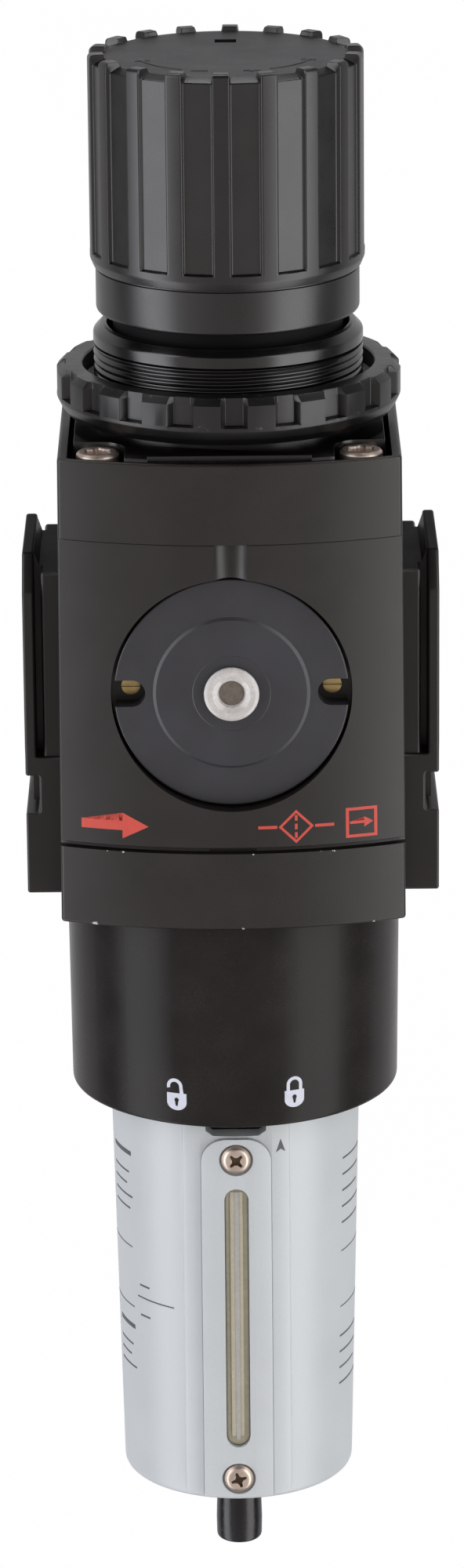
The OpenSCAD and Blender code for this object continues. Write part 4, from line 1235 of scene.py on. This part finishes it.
def arc_band(radius, width, from_deg, to_deg, centre=(0, 0), count=18):
    """Outline of a curved band."""
    outer = [math.radians(from_deg + (to_deg - from_deg) * k / count) for k in range(count + 1)]
    points = [(centre[0] + (radius + width / 2) * math.cos(a), centre[1] + (radius + width / 2) * math.sin(a))
              for a in outer]
    points += [(centre[0] + (radius - width / 2) * math.cos(a), centre[1] + (radius - width / 2) * math.sin(a))
               for a in reversed(outer)]
    return points


def padlock(azimuth_deg, z, is_open):
    """A padlock pictogram: round-bottomed body with a keyhole, and a shackle."""
    azimuth = math.radians(azimuth_deg)
    half, body_top, body_low = 2.35, 0.35, -3.75
    parts = []
    body = [(-half, body_top), (-half, body_low + 1.9)]
    body += [(half * math.sin(a) * 1.0, body_low + 1.9 - 1.9 * math.cos(a)) for a in
             [math.radians(-90 + 180 * k / 14) for k in range(15)]]
    body += [(half, body_top)]
    hole = [(0.52 * math.cos(a), -1.25 + 0.52 * math.sin(a)) for a in
            [math.radians(-40 + 260 * k / 14) for k in range(15)]]
    hole += [(-0.22, -2.7), (0.22, -2.7)]
    parts.append(wrapped("lock", body, collar_radius, azimuth, z, LILAC))
    keyhole = wrapped("keyhole", hole, collar_radius, azimuth, z, COLLAR, 0.075, 0.2)
    centre = (-0.45, 1.95) if is_open else (0, 1.75)
    reach = (-12, 92, 196) if is_open else (-8, 90, 188)
    legs = [[(0.75, 0.1), (1.7, 0.1), (1.44, 1.8), (0.68, 1.8)]] if is_open else \
        [[(side * 1.11, 0.1), (side * 1.89, 0.1), (side * 1.89, 1.7), (side * 1.11, 1.7)] for side in (-1, 1)]
    for low, high in zip(reach, reach[1:]):
        parts.append(wrapped("shackle", arc_band(1.5, 0.78, low, high, centre), collar_radius, azimuth, z, LILAC))
    for leg in legs:
        parts.append(wrapped("leg", leg, collar_radius, azimuth, z, LILAC, 0.052))
    name = "open_padlock" if is_open else "closed_padlock"
    place(joined(name, parts), "housing", "plug_white")
    return place(keyhole, "housing", "cast_black")


def bowl_mark(name, outline, azimuth_deg, z, radius_at=bowl_radius):
    return wrapped(name, outline, radius_at, math.radians(azimuth_deg), z, INK, 0.04)


def pad_radius(z):
    return PAD_RADIUS


def bar(width, height, x=0.0, y=0.0):
    return [(x, y), (x + width, y), (x + width, y + height), (x, y + height)]


def bowl_print():
    """A pointer, a level line and plain rules that stand for the printed notes."""
    parts = [bowl_mark("pointer", [(-1.15, -1.6), (0, 1.6), (1.15, -1.6), (0, -0.85)], 19.6, -110.9, pad_radius)]
    degree = math.pi / 180 * 28
    parts.append(bowl_mark("level", bar(24 * degree, 0.35), -56, -153.0))
    for low_deg, high_deg, heights in (
            (-78, -58, [(-118.5, 1.1), (-123, 0.45), (-126, 0.45), (-129, 0.45), (-132, 0.45)]),
            (-86, -60, [(-141.5, 0.3), (-156.5, 0.3)]),
            (-78, -60, [(-162.0, 1.1), (-166.4, 0.45), (-169.2, 0.45), (-172, 0.45)]),
            (60, 84, [(-120, 0.45), (-124, 0.45), (-128, 0.45), (-132, 0.45), (-136, 0.45)]),
            (60, 86, [(-143.0, 0.3), (-157.0, 0.3)]),
            (60, 84, [(-164.5, 0.45), (-168.5, 0.45), (-172.5, 0.45), (-176.5, 0.45)])):
        for k, (z, height) in enumerate(heights):
            cut = (k % 3) * 2.5 if height != 0.3 else 0
            parts.append(bowl_mark("rule", bar((high_deg - low_deg - cut) * degree, height), low_deg, z))
    for z in (-150.0, -157.5):
        parts.append(bowl_mark("rule", bar(7 * degree, 0.45), -54, z))
    return place(joined("bowl_print", parts), "bowl_set", "gloss_black")


def face_marks():
    """Generic red graphics: a flow arrow at the left and a pneumatic filter sign at the right."""
    parts = []
    z = -30.5
    arrow = [(-7.5, -1.1), (1.6, -1.1), (1.6, -3.0), (7.4, 0), (1.6, 3.0), (1.6, 1.1), (-7.5, 1.1)]
    parts.append(wrapped("arrow", arrow, None, -26.0, z, RED, face_at=face_y))
    centre = 14.0
    half = 3.9
    for k in range(4):
        a, b = math.radians(90 * k), math.radians(90 * (k + 1))
        width = 0.8
        outline = [(half * math.cos(a), half * math.sin(a)), (half * math.cos(b), half * math.sin(b)),
                   ((half - width) * math.cos(b), (half - width) * math.sin(b)),
                   ((half - width) * math.cos(a), (half - width) * math.sin(a))]
        parts.append(wrapped("side", outline, None, centre, z, RED, face_at=face_y))
    for k in range(3):
        parts.append(wrapped("dash", bar(0.6, 1.3, -0.3, -2.65 + 2.0 * k), None, centre, z, RED, face_at=face_y))
    for x, width in ((-8.4, 4.2), (4.2, 4.2)):
        parts.append(wrapped("line", bar(width, 0.7, x, -0.35), None, centre, z, RED, face_at=face_y))
    box_x = centre + 14.5
    for outline in (bar(7.0, 0.7, -3.5, 2.8), bar(7.0, 0.7, -3.5, -3.5), bar(0.7, 5.6, -3.5, -2.8),
                    bar(0.7, 5.6, 2.8, -2.8)):
        parts.append(wrapped("frame", outline, None, box_x, z, RED, face_at=face_y))
    parts.append(wrapped("flow", [(-2.6, -0.3), (0.6, -0.3), (0.6, -1.2), (2.6, 0), (0.6, 1.2), (0.6, 0.3), (-2.6, 0.3)],
                         None, box_x, z, RED, face_at=face_y))
    return place(even_shading(joined("face_marks", parts)), "housing", "plug_white")


padlock(20.8, -95.4, False)
padlock(-20.7, -95.9, True)
bowl_print()
face_marks()


# ---------------------------------------------------------------- CAD nodes that show as they are

KEPT = {
    RUBBER: ["diaphragm", "valve_guide_seal", "element_gaskets", "poppet_seal", "bowl_seal_ring", "sight_gasket",
             "drain_bush_seal"],
    STEEL: ["valve_spring", "range_spring", "thrust_washer", "knob_detent_ring", "element_stud", "element_nut",
            "adjusting_screw", "screw_clip", "diaphragm_plate_upper", "diaphragm_plate_lower", "diaphragm_nut",
            "valve_stem"],
    BRASS: ["valve_seat", "poppet", "spring_seat_nut", "drain_bush", "drain_stem"],
    INNER: ["deflector", "element_baffle"],
    SINTER: ["filter_element"],
    NUT: ["valve_guide"],
}
for material, names in KEPT.items():
    for node_name in names:
        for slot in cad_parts[node_name].material_slots:
            slot.material = material


# ---------------------------------------------------------------- floor, light and camera

# Each light: whether its azimuth is one-sided, (low, high, softness) of its azimuth and of its elevation in degrees,
# its brightness and its colour. A light that isn't one-sided lies on both sides of the front.
LIGHTS = (
    (True, (-85, -51, 7), (-60, 50, 8), 3.7, (0.98, 0.99, 1.03)),
    (True, (41, 80, 8), (-60, 50, 8), 3.3, (1.0, 1.0, 1.0)),
    (False, (-10, 46, 12), (-62, 40, 8), 0.58, (1.0, 0.93, 0.89)),
    (False, (22, 50, 10), (-62, 40, 8), 0.22, (1.0, 0.95, 0.92)),
    (False, (80, 200, 10), (-70, 30, 10), 0.12, (1.0, 0.97, 1.0)),
    (False, (112, 200, 10), (-70, 34, 8), 0.52, (1.0, 0.98, 1.0)),
    (False, (110, 200, 10), (58, 70, 3), 5.0, (1.0, 1.0, 1.0)),
)


def stage():
    drop = 60.0
    floor_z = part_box("drain_knob")[0].z - drop * MM
    mesh = bpy.data.meshes.new("floor")
    size = 30.0
    mesh.from_pydata([(-size, -size, floor_z), (size, -size, floor_z), (size, size, floor_z), (-size, size, floor_z)],
                     [], [(0, 1, 2, 3)])
    floor = bpy.data.objects.new("floor", mesh)
    bpy.context.scene.collection.objects.link(floor)
    material, tree, shader = new_material("floor_white")
    tone = add_noise(tree, 400.0, 2.0)
    tree.links.new(add_mix(tree, tone, (0.99, 0.99, 0.99), (1.0, 1.0, 1.0)), shader.inputs["Emission Color"])
    shader.inputs["Emission Strength"].default_value = 1.0
    shader.inputs["Base Color"].default_value = (0, 0, 0, 1)
    shader.inputs["Roughness"].default_value = 1.0
    shader.inputs["Specular IOR Level"].default_value = 0.0
    mesh.materials.append(material)
    floor.visible_diffuse = False
    floor.visible_glossy = False
    floor.visible_transmission = False
    floor.visible_shadow = False


def add_window(tree, value, low, high, soft):
    """1 where value lies between low and high, 0 outside, with soft edges. All in degrees."""
    rise = add_range(tree, value, low - soft, low + soft, 0, 1)
    fall = add_range(tree, value, high - soft, high + soft, 1, 0)
    for socket in (rise, fall):
        socket.node.interpolation_type = "SMOOTHSTEP"
    return add_math(tree, "MULTIPLY", rise, fall)


def lighting():
    """A studio round the object: soft boxes left and right, a strip over the back, a dim room, a white backdrop."""
    world = bpy.data.worlds.new("studio")
    bpy.context.scene.world = world
    world.use_nodes = True
    tree = world.node_tree
    background = tree.nodes["Background"]
    coords = tree.nodes.new("ShaderNodeTexCoord")
    split = tree.nodes.new("ShaderNodeSeparateXYZ")
    tree.links.new(coords.outputs["Generated"], split.inputs["Vector"])
    forward = add_math(tree, "MULTIPLY", split.outputs["Y"], -1.0)
    azimuth = add_math(tree, "DEGREES", add_math(tree, "ARCTAN2", split.outputs["X"], forward), 0)
    elevation = add_math(tree, "DEGREES", add_math(tree, "ARCSINE", split.outputs["Z"], 0), 0)
    aside = add_math(tree, "ABSOLUTE", azimuth, 0)
    total = None
    for around, side, tall, strength, colour in LIGHTS:
        mask = add_math(tree, "MULTIPLY", add_window(tree, azimuth if around else aside, *side),
                        add_window(tree, elevation, *tall))
        scale = tree.nodes.new("ShaderNodeVectorMath")
        scale.operation = "SCALE"
        scale.inputs[0].default_value = [strength * c for c in colour]
        tree.links.new(mask, scale.inputs["Scale"])
        light = scale.outputs["Vector"]
        if total is not None:
            add = tree.nodes.new("ShaderNodeVectorMath")
            tree.links.new(total, add.inputs[0])
            tree.links.new(light, add.inputs[1])
            light = add.outputs["Vector"]
        total = light
    seen = tree.nodes.new("ShaderNodeLightPath").outputs["Is Camera Ray"]
    tree.links.new(add_mix(tree, seen, total, (1.0, 1.0, 1.0)), background.inputs["Color"])


def camera():
    pitch, roll = math.radians(17.6), math.radians(0.55)
    distance = 1.389
    target = Vector((-0.0001, 0, -0.0335))
    data = bpy.data.cameras.new("camera")
    data.lens = 139.5
    data.sensor_width = 36
    obj = bpy.data.objects.new("camera", data)
    obj.matrix_world = (Matrix.Translation(target + distance * Vector((0, -math.cos(pitch), math.sin(pitch))))
                        @ Matrix.Rotation(math.pi / 2 - pitch, 4, "X") @ Matrix.Rotation(-roll, 4, "Z"))
    bpy.context.scene.collection.objects.link(obj)
    bpy.context.scene.camera = obj


stage()
lighting()
camera()
bpy.context.scene.view_settings.view_transform = "Standard"
